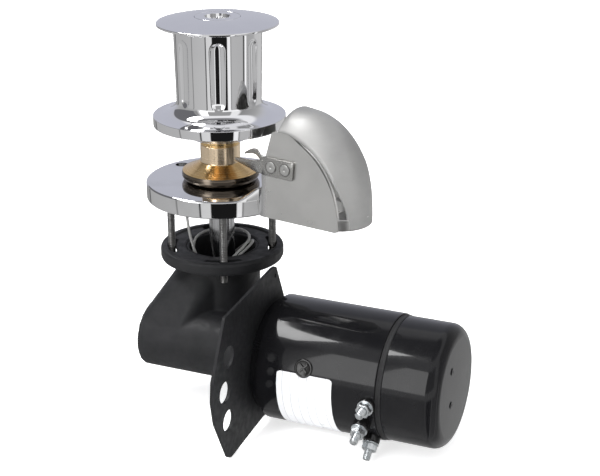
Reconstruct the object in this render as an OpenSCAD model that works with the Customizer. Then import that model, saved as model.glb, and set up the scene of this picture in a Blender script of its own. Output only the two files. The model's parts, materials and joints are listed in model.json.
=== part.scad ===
// Vertical anchor windlass: capstan drum, chain hood and deck base above the deck,
// worm gearbox and DC motor below it.
// Origin: main shaft axis at the base underside (deck plane). +Z up, +X towards the chain hood.

/* [Base and hood] */
// Radius of the round deck base
base_r = 75; // [72:1:80]
// Height of the round deck base
base_h = 17.5; // [16:0.5:20]
// Half width of the tongue under the hood
tongue_w = 29.5; // [28:0.5:30]
// Distance from the shaft axis to the centre of the hood's nose
nose_x = 144; // [140:1:150]
// Thickness of the tongue's floor
floor_t = 12; // [10:0.5:14]
// Wall thickness of the hood
hood_t = 4; // [3:0.5:5]

/* [Drum] */
// Height of the drum's flange edge above the deck
drum_top = 177.3; // [175:0.1:180]
// Radius of the top flange
flange_r = 60; // [56:1:64]
// Radius of the lower skirt
skirt_r = 65.9; // [62:0.1:68]
// Number of flutes round the barrel
flutes = 7; // [5:1:9]

/* [Shaft] */
// Radius of the main shaft
shaft_r = 13; // [12:0.5:14]
// Running clearance on the radius
run_gap = 0.05; // [0.02:0.01:0.1]

/* [Deck clamp] */
// Radius of the deck studs (M8)
stud_r = 4; // [3:0.5:5]
// Pitch circle radius of the deck studs
stud_pitch_r = 51.5; // [50:0.5:53]
// Radius of the clamp ring
ring_r = 62.9; // [60:0.1:66]
// Level of the clamp ring's top face
ring_top = -51.9; // [-60:0.1:-50]
// Thickness of the clamp ring
ring_h = 13.2; // [10:0.1:15]

/* [Gearbox] */
// Distance between shaft axis and worm axis
worm_centre = 40; // [40:1:40]
// Level of the worm and motor axis
motor_z = -146.3; // [-150:0.1:-143]
// Angle of the motor axis from +X
motor_yaw = 10.5; // [0:0.5:20]
// Teeth on the worm wheel
wheel_teeth = 36; // [36:1:36]
// Module of wheel and worm
gear_module = 1.6; // [1.6:0.1:1.6]

/* [Motor] */
// Radius of the motor yoke
yoke_r = 62.6; // [60:0.1:65]
// Distance along the motor axis from the shaft to the mounting plate
plate_s = 72.9; // [72:0.1:74]
// Distance along the motor axis to the end cap's face
motor_end = 267.3; // [262:0.1:272]

/* [Hidden] */

fine = 96;
fit = 0.05;             // clearance on the radius or side of a static fit
shank_r = 3.7;          // studs above the nuts
stud_angle = 38.5;      // direction of the first deck stud
flute_angle = -53.5;    // direction of the first flute
key_w = 8;
key_h = 7;
key_seat_r = 9.5;       // distance from the axis to the underside of a key

// Heights above the deck
cone_z0 = 18.3;
cone_rim_z = 28;
sleeve_z = 36.4;
sleeve_top = 61;
cone_r = 38.5;
sleeve_r = 20;
skirt_z0 = 75.4;
skirt_z1 = 85.1;
flare_z = 100.1;
barrel_r0 = 42.2;
barrel_r1 = 43.5;
top_z = drum_top + 5.5; // crest of the slightly domed top, flush with the clutch nut
dome_r0 = 25;
nut_r = 22.3;
nut_seat_z = top_z - 5.4;
washer_h = 1.5;

// Hood: the crown runs over the middle, the rims run along both cheeks
crown_x = 92;
crown_a = nose_x + 29.5 - crown_x;
crown_b = 107;
rim_x = 100;
rim_a = 66;
rim_b = 74;
mouth_x = 90;
cheek_x = 84;           // centre of the cheek's arched top
cheek_a = 74;
cheek_b = 85.5;
nose_r = 30.5;

// Under the deck
ring_bot = ring_top - ring_h;
neck_r = 37;
neck_bore = 34;
neck_floor = -100;
case_bore = 32;
case_floor = -172;
case_end = -176;
tunnel_r = 33.7;
tunnel_end = -62.9;
bear_r = 22;
plate_t = 3;
wheel_r = gear_module * wheel_teeth / 2;
worm_r = worm_centre - wheel_r;
tooth_pitch = PI * gear_module;
bell_s = plate_s + plate_t;
yoke_s0 = 85;
yoke_s1 = 207;
cap_s0 = 212.5;
yoke_bore = 57.6;
cap_r = 61;

// ---- helpers -------------------------------------------------------------------------

// Places its children on the motor axis: local X runs along it, away from the shaft
module on_motor() {
    rotate([0, 0, motor_yaw]) translate([0, -worm_centre, motor_z]) children();
}

// Solid round bar along local X
module bar(s0, s1, r) {
    translate([s0, 0, 0]) rotate([0, 90, 0]) cylinder(h = s1 - s0, r = r, $fn = fine);
}

// Tube along local X
module sleeve(s0, s1, r_out, r_in) {
    difference() {
        bar(s0, s1, r_out);
        bar(s0 - 1, s1 + 1, r_in);
    }
}

// Tube along Z
module ring(z0, z1, r_out, r_in) {
    translate([0, 0, z0]) difference() {
        cylinder(h = z1 - z0, r = r_out, $fn = fine);
        translate([0, 0, -1]) cylinder(h = z1 - z0 + 2, r = r_in, $fn = fine);
    }
}

module disc(z0, z1, r) {
    translate([0, 0, z0]) cylinder(h = z1 - z0, r = r, $fn = fine);
}

// Places its children at an angle round local X, with local Z pointing outwards
// (0 points sideways away from +Y, 90 points up)
module at_angle(s, a) {
    translate([s, 0, 0]) rotate([90 - a, 0, 0]) children();
}

// Key in the shaft between two levels, and the slot that holds it
module key_block(z0, z1, gap) {
    translate([-key_w / 2 - gap, key_seat_r - gap, z0 - gap])
        cube([key_w + 2 * gap, key_h + 2 * gap, z1 - z0 + 2 * gap]);
}

// Ball bearing between radii, lying along Z: two races, seals and a ball row inside
module bearing(width, r_in, r_out) {
    mid = (r_in + r_out) / 2;
    ball = (r_out - r_in) * 0.28;
    difference() {
        cylinder(h = width, r = r_out, $fn = fine);
        translate([0, 0, -1]) cylinder(h = width + 2, r = r_in, $fn = fine);
        for (z = [-1, width - 1]) translate([0, 0, z]) difference() {
            cylinder(h = 2, r = mid + ball * 0.7, $fn = fine);
            translate([0, 0, -1]) cylinder(h = 4, r = mid - ball * 0.7, $fn = fine);
        }
    }
}

// ---- base and hood -------------------------------------------------------------------

fillet_r = 4;
fillet_y = -(tongue_w + fillet_r);
fillet_x = sqrt(pow(base_r + fillet_r, 2) - pow(fillet_y, 2));

module cheek_fillet() {
    touch = base_r / (base_r + fillet_r);
    difference() {
        polygon([[fillet_x * touch, fillet_y * touch], [fillet_x, -tongue_w], [60, -20]]);
        translate([fillet_x, fillet_y]) circle(r = fillet_r, $fn = fine);
    }
}

// Shoulder that lifts the disc's edge up to the foot of the cheek
shoulder_a0 = -42;
shoulder_a1 = -21;
shoulder_rise = 11;
module shoulder() {
    n = 10;
    points = [for (i = [0 : n]) let (q = i / n, a = shoulder_a0 + (shoulder_a1 - shoulder_a0) * q,
            top = base_h - 1.5 + shoulder_rise * q * q * (3 - 2 * q))
        each [for (c = [[68, 9], [base_r - 0.2, 9], [base_r - 0.2, top], [68, top]])
            [c[0] * cos(a), c[0] * sin(a), c[1]]]];
    sides = [for (i = [0 : n - 1]) for (j = [0 : 3]) let (b = 4 * i, m = (j + 1) % 4)
        each [[b + j, b + 4 + j, b + 4 + m], [b + j, b + 4 + m, b + m]]];
    polyhedron(points = points, faces = concat(sides, [[0, 1, 2, 3]],
        [[4 * n + 3, 4 * n + 2, 4 * n + 1, 4 * n]]));
    translate([64, -tongue_w + 0.1, 9]) cube([12, hood_t - 0.2, base_h + shoulder_rise - 10.6]);
}

module tongue_plan() {
    translate([0, -tongue_w]) square([nose_x, 2 * tongue_w]);
    translate([nose_x, 0]) circle(r = nose_r, $fn = fine);
}

// Hawse opening: an oblong hole through the tongue for the chain
hawse_x0 = 108;
hawse_x1 = 138;
hawse_r = 19;
module hawse_plan(grow) {
    translate([hawse_x0, 0]) circle(r = hawse_r + grow, $fn = fine);
    translate([hawse_x1, 0]) circle(r = hawse_r + grow, $fn = fine);
    translate([hawse_x0, -hawse_r - grow]) square([hawse_x1 - hawse_x0, 2 * (hawse_r + grow)]);
}

// Point on a quarter super-ellipse, t from 0 (top) to 90 (end)
function arc_point(x0, z0, a, b, p, t) =
    [x0 + a * pow(sin(t), 2 / p), z0 + b * pow(max(cos(t), 0), 2 / p)];

// Crown and rim of the hood's roof at station u (0 at the mouth, 1 at the foot of the nose),
// drawn inwards by a wall thickness
mouth_share = 0.12;
function crown(u, t) = u < mouth_share
    ? let (x = mouth_x + (crown_x + 7 - mouth_x) * u / mouth_share)
        [x, crown_b - t - 9 * pow((crown_x + 7 - x) / 12, 2)]
    : let (q = (u - mouth_share) / (1 - mouth_share),
           p = arc_point(crown_x, 0, crown_a - t, crown_b - t, 2.5, 12 + 78 * q))
        [p[0], max(p[1], floor_t - 4)];
function rim(u, t) = u < mouth_share
    ? [mouth_x + (rim_x - mouth_x) * u / mouth_share, floor_t + rim_b - t]
    : let (q = (u - mouth_share) / (1 - mouth_share),
           p = arc_point(rim_x, floor_t, rim_a - t, rim_b - t, 1.72, 90 * q))
        [p[0], p[1] - 4 * q * q];
function rim_y(x, t) = x < nose_x ? tongue_w - t
    : min(tongue_w - t, sqrt(max(pow(nose_r - t, 2) - pow(x - nose_x, 2), 0)));
function roof_point(u, v, t) = let (c = crown(u, t), r = rim(u, t), k = pow(abs(v), 2.2))
    [c[0] + (r[0] - c[0]) * k, rim_y(r[0], t) * v, c[1] + (r[1] - c[1]) * k];

roof_nu = 24;
roof_nv = 14;
module hood_roof() {
    side = [for (t = [0, hood_t]) for (i = [0 : roof_nu]) for (j = [0 : roof_nv])
        roof_point(i / roof_nu, 2 * j / roof_nv - 1, t)];
    row = roof_nv + 1;
    skin = (roof_nu + 1) * row;
    outer = [for (i = [0 : roof_nu - 1]) for (j = [0 : roof_nv - 1])
        [i * row + j, i * row + j + 1, (i + 1) * row + j + 1, (i + 1) * row + j]];
    inner = [for (f = outer) [skin + f[3], skin + f[2], skin + f[1], skin + f[0]]];
    edge_j = [for (i = [0 : roof_nu - 1]) each [
        [i * row, (i + 1) * row, skin + (i + 1) * row, skin + i * row],
        [(i + 1) * row + roof_nv, i * row + roof_nv, skin + i * row + roof_nv,
            skin + (i + 1) * row + roof_nv]]];
    edge_i = [for (j = [0 : roof_nv - 1]) each [
        [j + 1, j, skin + j, skin + j + 1],
        [roof_nu * row + j, roof_nu * row + j + 1, skin + roof_nu * row + j + 1,
            skin + roof_nu * row + j]]];
    polyhedron(points = side, faces = [for (f = concat(outer, inner, edge_j, edge_i))
        each [[f[0], f[1], f[2]], [f[0], f[2], f[3]]]]);
}

// Flat side wall under the hood, with its leaning front edge and its arched top: the arch meets
// the hood's rim near the mouth and leaves a slot that widens towards the nose
function super_z(x, x0, z0, a, b, p) = z0 + b * pow(max(1 - pow(max(x - x0, 0) / a, p), 0), 1 / p);
module cheek() {
    arch = [for (q = [0.06 : 0.06 : 1]) let (x = cheek_x + cheek_a * sin(90 * q),
            w = min(max((x - 98) / 20, 0), 1), k = w * w * (3 - 2 * w))
        [x, super_z(x, cheek_x, 0, cheek_a, cheek_b, 2.05) * k
            + (super_z(x, rim_x, floor_t, rim_a, rim_b, 1.72) + 0.6) * (1 - k)]];
    translate([0, -tongue_w + hood_t, 0]) rotate([90, 0, 0])
        linear_extrude(hood_t) polygon(concat([[100, 1], [68, 1], [73.5, 30], [73, 41],
            [78.6, 63], [86, 86]], arch, [[cheek_x + cheek_a, 1]]));
}

module base_casting() {
    color("silver") difference() {
        union() {
            disc(0, base_h - 1.3, base_r);
            translate([0, 0, base_h - 1.3])
                cylinder(h = 1.3, r1 = base_r, r2 = base_r - 1.3, $fn = fine);
            linear_extrude(base_h - 1) {
                cheek_fillet();
                mirror([0, 1]) cheek_fillet();
            }
            linear_extrude(floor_t) tongue_plan();
            cheek();
            mirror([0, 1, 0]) cheek();
            shoulder();
            mirror([0, 1, 0]) shoulder();
        }
        disc(-1, base_h + 1, 17);
        disc(base_h - 4, base_h + 1, 24);
        translate([0, 0, -1]) linear_extrude(base_h + 4) hawse_plan(0);
        for (i = [0 : 3]) rotate([0, 0, stud_angle + 90 * i]) translate([stud_pitch_r, 0, -1])
            cylinder(h = 12, r = shank_r + fit, $fn = fine);
        translate([-60.8, 13.4, -1]) cylinder(h = base_h + 2, r = 6.5, $fn = fine);
        translate([sensor_x, sensor_y, -1]) {
            cylinder(h = 15, r = 4 + fit, $fn = 48);
            cylinder(h = 7.5, r = 5.5 + fit, $fn = 48);
        }
        for (x = stripper_x) translate([x, -tongue_w - 1, stripper_z]) rotate([-90, 0, 0])
            cylinder(h = hood_t + 2, r = 2.5 + fit, $fn = 32);
    }
}

module chain_hood() {
    color("silver") hood_roof();
}

module base_bush() {
    color("ivory") ring(0, base_h - 4.1, 17 - fit, shaft_r + run_gap);
}

module base_seal() {
    color("dimgray") ring(base_h - 4, base_h - 0.2, 24 - fit, shaft_r + run_gap);
}

module deck_studs() {
    color("gainsboro") for (i = [0 : 3]) rotate([0, 0, stud_angle + 90 * i])
        translate([stud_pitch_r, 0, -75]) {
            cylinder(h = 9, r = stud_r, $fn = fine);
            cylinder(h = 85, r = shank_r, $fn = fine);
        }
}

// Chain stripper: a plate screwed outside the front cheek, with a finger that reaches in
stripper_x = [85, 101];
stripper_z = 52.5;
stripper_t = 3;
module chain_stripper() {
    y = -tongue_w - stripper_t;
    color("silver") difference() {
        union() {
            translate([0, y + stripper_t, 0]) rotate([90, 0, 0]) linear_extrude(stripper_t)
                polygon([[64, 44], [75, 43], [109.5, 42.6], [111, 61.3], [76.5, 62], [64, 58]]);
            hull() {
                translate([62, y, 44]) cube([3, stripper_t, 13.5]);
                translate([52, -26, 45.5]) cube([3, 3, 8.5]);
            }
            hull() {
                translate([52, -26, 45.5]) cube([3, 3, 8.5]);
                translate([31, -17.5, 45.6]) cube([2, 3, 4.4]);
            }
            hull() {
                translate([64, y, 55]) cube([5, stripper_t, 3.5]);
                translate([58, -25, 61]) cube([5, 2.5, 5.5]);
            }
            hull() {
                translate([58, -25, 61]) cube([5, 2.5, 5.5]);
                translate([44, -20, 55.5]) cube([2, 2.5, 2.5]);
            }
        }
        for (x = stripper_x) translate([x, y - 1, stripper_z]) rotate([-90, 0, 0])
            cylinder(h = stripper_t + 2, r = 2.5 + fit, $fn = 32);
    }
}

module stripper_screws() {
    y = -tongue_w - stripper_t;
    color("gainsboro") for (x = stripper_x) translate([x, y, stripper_z]) rotate([90, 0, 0]) {
        difference() {
            cylinder(h = 1.8, r1 = 6, r2 = 5.2, $fn = 48);
            translate([0, 0, 0.8]) cylinder(h = 2, r = 1.6, $fn = 6);
        }
        translate([0, 0, -hood_t - stripper_t - 3]) cylinder(h = hood_t + stripper_t + 3, r = 2.5, $fn = 32);
    }
}

// ---- shaft line ----------------------------------------------------------------------

module main_shaft() {
    color("lightsteelblue") difference() {
        union() {
            disc(-160, 145, shaft_r);
            disc(145, 169.5, 10);
            disc(-173.5, -160, 10);
        }
        key_block(24, 52, fit);
        key_block(80, 120, fit);
        key_block(-155.5, -137, fit);
        ring(-158, -156.4, shaft_r + 1, 12);
    }
}

module cone_key() { color("dimgray") key_block(24, 52, 0); }
module drum_key() { color("dimgray") key_block(80, 120, 0); }
module wheel_key() { color("dimgray") key_block(-155.5, -137, 0); }

// Keyed bore from z0 to z1
module keyed_bore(z0, z1) {
    disc(z0, z1, shaft_r + fit);
    translate([-key_w / 2 - fit, 0, z0]) cube([key_w + 2 * fit, key_seat_r + key_h + fit, z1 - z0]);
}

module lower_clutch_cone() {
    color("darkgoldenrod") difference() {
        rotate_extrude($fn = fine) polygon([[0, cone_z0], [cone_r - 0.8, cone_z0],
            [cone_r, cone_z0 + 0.8], [cone_r, cone_rim_z - 0.4], [cone_r - 0.8, cone_rim_z],
            [sleeve_r + 0.6, sleeve_z], [sleeve_r, sleeve_z + 0.8], [sleeve_r, 54.5],
            [sleeve_r - 0.5, 55], [sleeve_r - 0.5, 56], [sleeve_r, 56.5], [sleeve_r, sleeve_top],
            [0, sleeve_top]]);
        keyed_bore(cone_z0 - 1, sleeve_top + 1);
    }
}

// Flutes: upright grooves with a round section and rounded ends
flute_depth = 3;
flute_r = 11;
flute_z0 = 106;
flute_z1 = 157;
module flute() {
    end = [for (t = [0 : 9 : 54]) [flute_r * cos(t), flute_r * sin(t)]];
    profile = concat([for (i = [6 : -1 : 0]) [end[i][0], flute_z0 - end[i][1]]],
        [for (q = end) [q[0], flute_z1 + q[1]]]);
    translate([barrel_r0 + flute_r - flute_depth + 0.3, 0, 0]) rotate_extrude($fn = 64)
        polygon(concat([[0, profile[0][1]]], profile, [[0, profile[13][1]]]));
}

module capstan_drum() {
    flare = [for (t = [90 : -7.5 : 0])
        [skirt_r - (skirt_r - barrel_r0) * cos(t), flare_z - (flare_z - skirt_z1) * sin(t)]];
    under = [for (t = [0 : 15 : 90])
        [barrel_r1 + 4 - 4 * cos(t), drum_top - 6 + 3.5 * sin(t)]];
    dome = [for (q = [0.2 : 0.2 : 1])
        [flange_r - (flange_r - dome_r0) * q, drum_top + (top_z - drum_top) * sin(90 * q)]];
    color("gainsboro") difference() {
        rotate_extrude($fn = fine) polygon(concat([[0, 62], [20, 62], [20, 160], [36, 160],
            [36, 104], [39, 93], [46, 86], [52, 83], [60, 80.5], [60, skirt_z0], [skirt_r - 0.6, skirt_z0],
            [skirt_r, skirt_z0 + 0.6]], flare, under,
            [[flange_r - 1, drum_top - 2.2], [flange_r, drum_top - 1.2], [flange_r - 0.6, drum_top]],
            dome, [[0, top_z]]));
        for (i = [0 : flutes - 1]) rotate([0, 0, flute_angle + 360 / flutes * i]) flute();
        keyed_bore(61, 147);
        disc(146, top_z, 16.5);
        disc(nut_seat_z - washer_h - fit, top_z + 1, nut_r + 0.1);
    }
}

module upper_clutch_cone() {
    color("gainsboro") rotate_extrude($fn = fine) polygon([[20 + fit, sleeve_top + 0.2],
        [27, sleeve_top + 0.2], [29, sleeve_top + 1], [59.6, skirt_z0 + 0.4], [59.6, 80],
        [40, 76], [20 + fit, 76]]);
}

module clutch_washer() {
    color("darkgoldenrod") ring(nut_seat_z - washer_h, nut_seat_z - 0.02, nut_r - 0.1, 16.6);
}

// Twelve-point socket: two hexagons turned by 30 degrees
module star_socket(depth) {
    translate([0, 0, top_z - depth]) for (a = [0, 30]) rotate([0, 0, a])
        cylinder(h = depth + 1, r = 13, $fn = 6);
}

module clutch_nut() {
    color("gainsboro") difference() {
        union() {
            disc(nut_seat_z, top_z, nut_r);
            disc(147.2, nut_seat_z, 16.3);
        }
        star_socket(12);
        disc(146, top_z - 11, 10 + run_gap);
    }
}

// ---- gearbox -------------------------------------------------------------------------

slot_half = 17;
module clamp_ring() {
    color("dimgray") difference() {
        rotate_extrude($fn = fine) polygon([[neck_r + fit, ring_bot], [ring_r - 3, ring_bot],
            [ring_r - 0.9, ring_bot + 0.9], [ring_r, ring_bot + 3], [ring_r, ring_top - 3],
            [ring_r - 0.9, ring_top - 0.9], [ring_r - 3, ring_top], [ring_r - 7, ring_top],
            [ring_r - 9, ring_top - 1.5], [neck_r + 2, ring_top - 1.5], [neck_r + fit, ring_top - 2.5]]);
        for (i = [0 : 3]) rotate([0, 0, stud_angle + 90 * i]) {
            rotate([0, 0, -slot_half]) translate([0, 0, ring_bot - 1])
                rotate_extrude(angle = 2 * slot_half, $fn = fine)
                    translate([stud_pitch_r - 4.6, 0]) square([9.2, ring_h + 2]);
            for (s = [-1, 1]) rotate([0, 0, s * slot_half]) translate([stud_pitch_r, 0, ring_bot - 1])
                cylinder(h = ring_h + 2, r = 4.6, $fn = fine);
        }
    }
}

module gearbox_housing() {
    color([0.2, 0.2, 0.21]) difference() {
        union() {
            disc(-112, ring_top - 2, neck_r);
            disc(case_floor, ring_bot, neck_r + 1.5);
            hull() {
                on_motor() translate([tunnel_end + 0.8, 0, 0]) rotate([0, 90, 0])
                    cylinder(h = 42, r = tunnel_r - 0.6, $fn = 32);
                translate([-4, -6, -112]) cylinder(h = 112 + ring_bot - 1, r = 31, $fn = 32);
            }
            on_motor() bar(tunnel_end, plate_s, tunnel_r);
            on_motor() bar(plate_s - 10, plate_s, 46);
        }
        disc(neck_floor, ring_top, 29);
        translate([0, 0, neck_floor + 20]) cylinder(h = ring_top - 2 - neck_floor - 20 + 0.01,
            r1 = 29, r2 = neck_bore, $fn = fine);
        disc(-112, neck_floor + 1, 22);
        disc(-128, -111, 26);
        disc(-130, -127, 22);
        disc(case_end - 6, -130, case_bore);
        disc(case_end - 6, case_floor, neck_r + 1.5 + fit);
        on_motor() {
            bar(tunnel_end - 1, -38, bear_r);
            bar(-40, 40, 14.5);
            bar(38, plate_s + 1, bear_r);
            plate_screw_ring() cylinder(h = 10, r = 2.5 + fit, $fn = 32);
        }
        cover_screw_ring() translate([0, 0, case_floor - 1]) cylinder(h = 9, r = 1.5 + fit, $fn = 32);
    }
}

// Four screw places round the open side of the wheel case
module cover_screw_ring() {
    for (a = [0 : 60 : 180]) rotate([0, 0, motor_yaw + a]) translate([35, 0, 0]) children();
}

module wheel_cover() {
    color([0.2, 0.2, 0.21]) difference() {
        union() {
            disc(case_end, case_floor, neck_r + 1.5);
            disc(case_floor, -162, 26);
        }
        disc(-174, -160, 21);
        cover_screw_ring() translate([0, 0, case_end - 1]) cylinder(h = 8, r = 1.5 + fit, $fn = 32);
    }
}

module cover_screws() {
    color("gainsboro") cover_screw_ring() translate([0, 0, case_end - 2]) {
            difference() {
                cylinder(h = 2, r = 2.9, $fn = 48);
                translate([0, 0, -1]) cylinder(h = 2, r = 1.3, $fn = 6);
            }
            translate([0, 0, 2]) cylinder(h = 9, r = 1.5, $fn = 32);
        }
}

module shaft_bearing_upper() {
    color("lightgray") translate([0, 0, -127]) bearing(15, shaft_r + run_gap, 26 - fit);
}

module shaft_bearing_lower() {
    color("lightgray") translate([0, 0, -173.9]) bearing(12, 10 + run_gap, 21 - fit);
}

module shaft_seal() {
    color("black") ring(-111.5, -104, 22 - fit, shaft_r + run_gap);
}

// Wheel tooth outline: trapezoid teeth, thinned for backlash
tooth_tip = 0.9 * gear_module;
tooth_root = 1.25 * gear_module;
flank = tan(20);
wheel_half = 0.95;      // half thickness of a wheel tooth at the pitch circle
thread_half = 0.95;     // half thickness of the worm thread at the pitch cylinder
function polar(r, a) = [r * cos(a), r * sin(a)];
function tooth(i) = let (a = 360 / wheel_teeth * i + motor_yaw - 90,
        root_a = (wheel_half + tooth_root * flank) / wheel_r * 180 / PI,
        tip_a = (wheel_half - tooth_tip * flank) / wheel_r * 180 / PI)
    [polar(wheel_r - tooth_root, a - root_a), polar(wheel_r + tooth_tip, a - tip_a),
        polar(wheel_r + tooth_tip, a + tip_a), polar(wheel_r - tooth_root, a + root_a)];

module worm_wheel() {
    color("peru") difference() {
        union() {
            translate([0, 0, motor_z - 5]) linear_extrude(10)
                polygon([for (i = [0 : wheel_teeth - 1]) each tooth(i)]);
            disc(motor_z - 10, motor_z + 10, 20);
        }
        keyed_bore(-160, -130);
    }
}

module wheel_circlip() {
    color("dimgray") ring(-157.9, -156.5, 15.5, 12 + fit);
}

// Worm thread: one start, swept round the worm axis; the wheel's tooth sits in its gap at rest
thread_turns = 6;
thread_steps = 24;
module worm_thread() {
    n = thread_turns * thread_steps;
    root = worm_r - tooth_root - 0.3;
    tip = worm_r + tooth_tip;
    r_h = thread_half + (tooth_root + 0.3) * flank;
    t_h = thread_half - tooth_tip * flank;
    points = [for (k = [0 : n]) let (a = 360 * k / thread_steps,
            s = tooth_pitch * (k / thread_steps - thread_turns / 2) + tooth_pitch / 2)
        each [for (q = [[root, -r_h], [tip, -t_h], [tip, t_h], [root, r_h]])
            [s + q[1], q[0] * cos(a), q[0] * sin(a)]]];
    sides = [for (k = [0 : n - 1]) for (j = [0 : 3]) let (b = 4 * k, m = (j + 1) % 4)
        each [[b + j, b + m, b + 4 + m], [b + j, b + 4 + m, b + 4 + j]]];
    polyhedron(points = points, faces = concat(sides, [[3, 2, 1, 0]],
        [[4 * n, 4 * n + 1, 4 * n + 2, 4 * n + 3]]));
}

module worm_shaft() {
    color("lightsteelblue") on_motor() union() {
        bar(-52, -20, 10);
        bar(-20, 20, worm_r - tooth_root);
        bar(20, 62, 10);
        worm_thread();
    }
}

module worm_bearing_outer() {
    color("lightgray") on_motor() translate([-50, 0, 0]) rotate([0, 90, 0])
        bearing(12, 10 + run_gap, bear_r - fit);
}

module worm_bearing_inner() {
    color("lightgray") on_motor() translate([38 + fit, 0, 0]) rotate([0, 90, 0])
        bearing(12, 10 + run_gap, bear_r - fit);
}

module worm_seal() {
    color("black") on_motor() sleeve(50.2, 56, bear_r - fit, 10 + run_gap);
}

module tunnel_cap() {
    color([0.2, 0.2, 0.21]) on_motor() difference() {
        bar(tunnel_end, -55, bear_r - fit);
        bar(tunnel_end - 1, tunnel_end + 2, 6);
    }
}

// ---- plate and coupling --------------------------------------------------------------

plate_outline = [[7.5, 92], [50, 2], [36, -58], [-28, -58], [-99, -67], [-106, -64],
    [-131, -17], [-136, 8], [-134, 27], [-107, 82], [-76, 85], [-1, 93]];
gland_holes = [[-101, 40], [-110, 7], [-104, -25]];
module mounting_plate() {
    color([0.2, 0.2, 0.21]) on_motor() difference() {
        translate([plate_s, 0, 0]) rotate([90, 0, 90]) linear_extrude(plate_t)
            offset(r = 4) offset(delta = -4) polygon(plate_outline);
        bar(plate_s - 1, bell_s + 1, 24);
        for (q = gland_holes) translate([plate_s - 1, q[0], q[1]]) rotate([0, 90, 0])
            cylinder(h = plate_t + 2, r = 11, $fn = fine);
        translate([plate_s - 1, 5, 83]) rotate([0, 90, 0]) cylinder(h = plate_t + 2, r = 2.3, $fn = 32);
        plate_screw_ring() cylinder(h = 20, r = 2.5 + fit, $fn = 32);
    }
}

// Four screw places on a circle round the motor axis, local Z along the axis
module plate_screw_ring() {
    for (i = [0 : 3]) rotate([45 + 90 * i, 0, 0]) translate([plate_s - 9, 0, 38])
        rotate([0, 90, 0]) children();
}

module plate_screws() {
    color("dimgray") on_motor() plate_screw_ring() {
        cylinder(h = 12, r = 2.5, $fn = 32);
        translate([0, 0, 12]) difference() {
            cylinder(h = 2.5, r = 4.5, $fn = 48);
            translate([0, 0, 1]) cylinder(h = 2, r = 2, $fn = 6);
        }
    }
}

module shaft_coupling() {
    color("gray") on_motor() difference() {
        bar(57, 76, 15);
        bar(56, 62.5, 10 + fit);
        bar(62, 77, 8 + fit);
    }
}

// ---- motor ---------------------------------------------------------------------------

module motor_front_bell() {
    color([0.08, 0.08, 0.08]) on_motor() difference() {
        union() {
            bar(bell_s, yoke_s0, 56);
            bar(yoke_s0, yoke_s0 + 6, yoke_bore - fit);
        }
        bar(bell_s - 1, bell_s + 3, 46);
        bar(bell_s, yoke_s0 - 4, 20);
        bar(bell_s, yoke_s0 + 7, 17);
        bar(yoke_s0 - 3, yoke_s0 + 7, 20);
        sleeve(yoke_s0, yoke_s0 + 7, yoke_bore - 5, 25);
    }
}

module motor_yoke() {
    color([0.08, 0.08, 0.08]) on_motor() difference() {
        bar(yoke_s0, yoke_s1, yoke_r);
        bar(yoke_s0 - 1, yoke_s1 + 1, yoke_bore);
        for (q = terminals) at_angle(q[0], q[1]) translate([0, 0, 50])
            cylinder(h = 20, r = 5.5 + fit, $fn = 32);
        at_angle(plug_s, plug_a) translate([0, 0, 50]) cylinder(h = 20, r = 7 + fit, $fn = 48);
    }
}

module seal_band() {
    color([0.12, 0.12, 0.12]) on_motor() sleeve(yoke_s1, cap_s0, yoke_r - 0.8, yoke_bore);
}

module motor_end_cap() {
    corner = [for (t = [0 : 15 : 90]) [motor_end - 13 + 13 * sin(t), cap_r - 13 + 13 * cos(t)]];
    color([0.08, 0.08, 0.08]) on_motor() difference() {
        rotate([90, 0, 90]) rotate_extrude($fn = fine)
            polygon([for (q = concat([[cap_s0 - 5.4, yoke_bore - fit], [cap_s0 - 5.4, 54],
                [motor_end - 16, 54], [motor_end - 12, 51.5], [motor_end - 4, 42], [motor_end - 4, 22], [251.5, 22],
                [251.5, 17], [263.6, 17], [263.6, 0], [motor_end, 0]],
                [for (i = [6 : -1 : 0]) corner[i]], [[cap_s0, cap_r], [cap_s0, yoke_bore - fit]]))
                [q[1], q[0]]]);
        for (q = cap_screws) translate([motor_end - 6, q[0], q[1]]) rotate([0, 90, 0])
            cylinder(h = 7, r = 2 + fit, $fn = 32);
    }
}

cap_screws = [[-14, 23], [-14, -12]];
module end_cap_screws() {
    color("dimgray") on_motor() for (q = cap_screws) translate([motor_end - 5, q[0], q[1]])
        rotate([0, 90, 0]) difference() {
            union() {
                cylinder(h = 5, r = 2, $fn = 32);
                translate([0, 0, 5]) cylinder(h = 0.8, r = 3.4, $fn = 48);
            }
            translate([0, 0, 4.8]) cylinder(h = 2, r = 1.4, $fn = 6);
        }
}

pole_s0 = 100;
pole_s1 = 170;
module pole_shoes() {
    color("slategray") on_motor() for (i = [0 : 3]) rotate([45 + 90 * i, 0, 0]) {
        intersection() {
            sleeve(pole_s0, pole_s1, yoke_bore - fit, 46);
            translate([pole_s0, -11, 40]) cube([pole_s1 - pole_s0, 22, 20]);
        }
        intersection() {
            sleeve(pole_s0, pole_s1, 46, 39);
            translate([pole_s0, -25, 20]) cube([pole_s1 - pole_s0, 50, 30]);
        }
    }
}

module field_coils() {
    color("orangered") on_motor() for (i = [0 : 3]) rotate([45 + 90 * i, 0, 0]) difference() {
        intersection() {
            sleeve(pole_s0 - 7, pole_s1 + 7, 56.5, 46.2);
            translate([pole_s0 - 7, -19, 30]) cube([pole_s1 - pole_s0 + 14, 38, 40]);
        }
        translate([pole_s0 - 0.2, -11.2, 30]) cube([pole_s1 - pole_s0 + 0.4, 22.4, 40]);
    }
}

module armature_shaft() {
    color("lightsteelblue") on_motor() bar(63, 262, 8);
}

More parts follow.
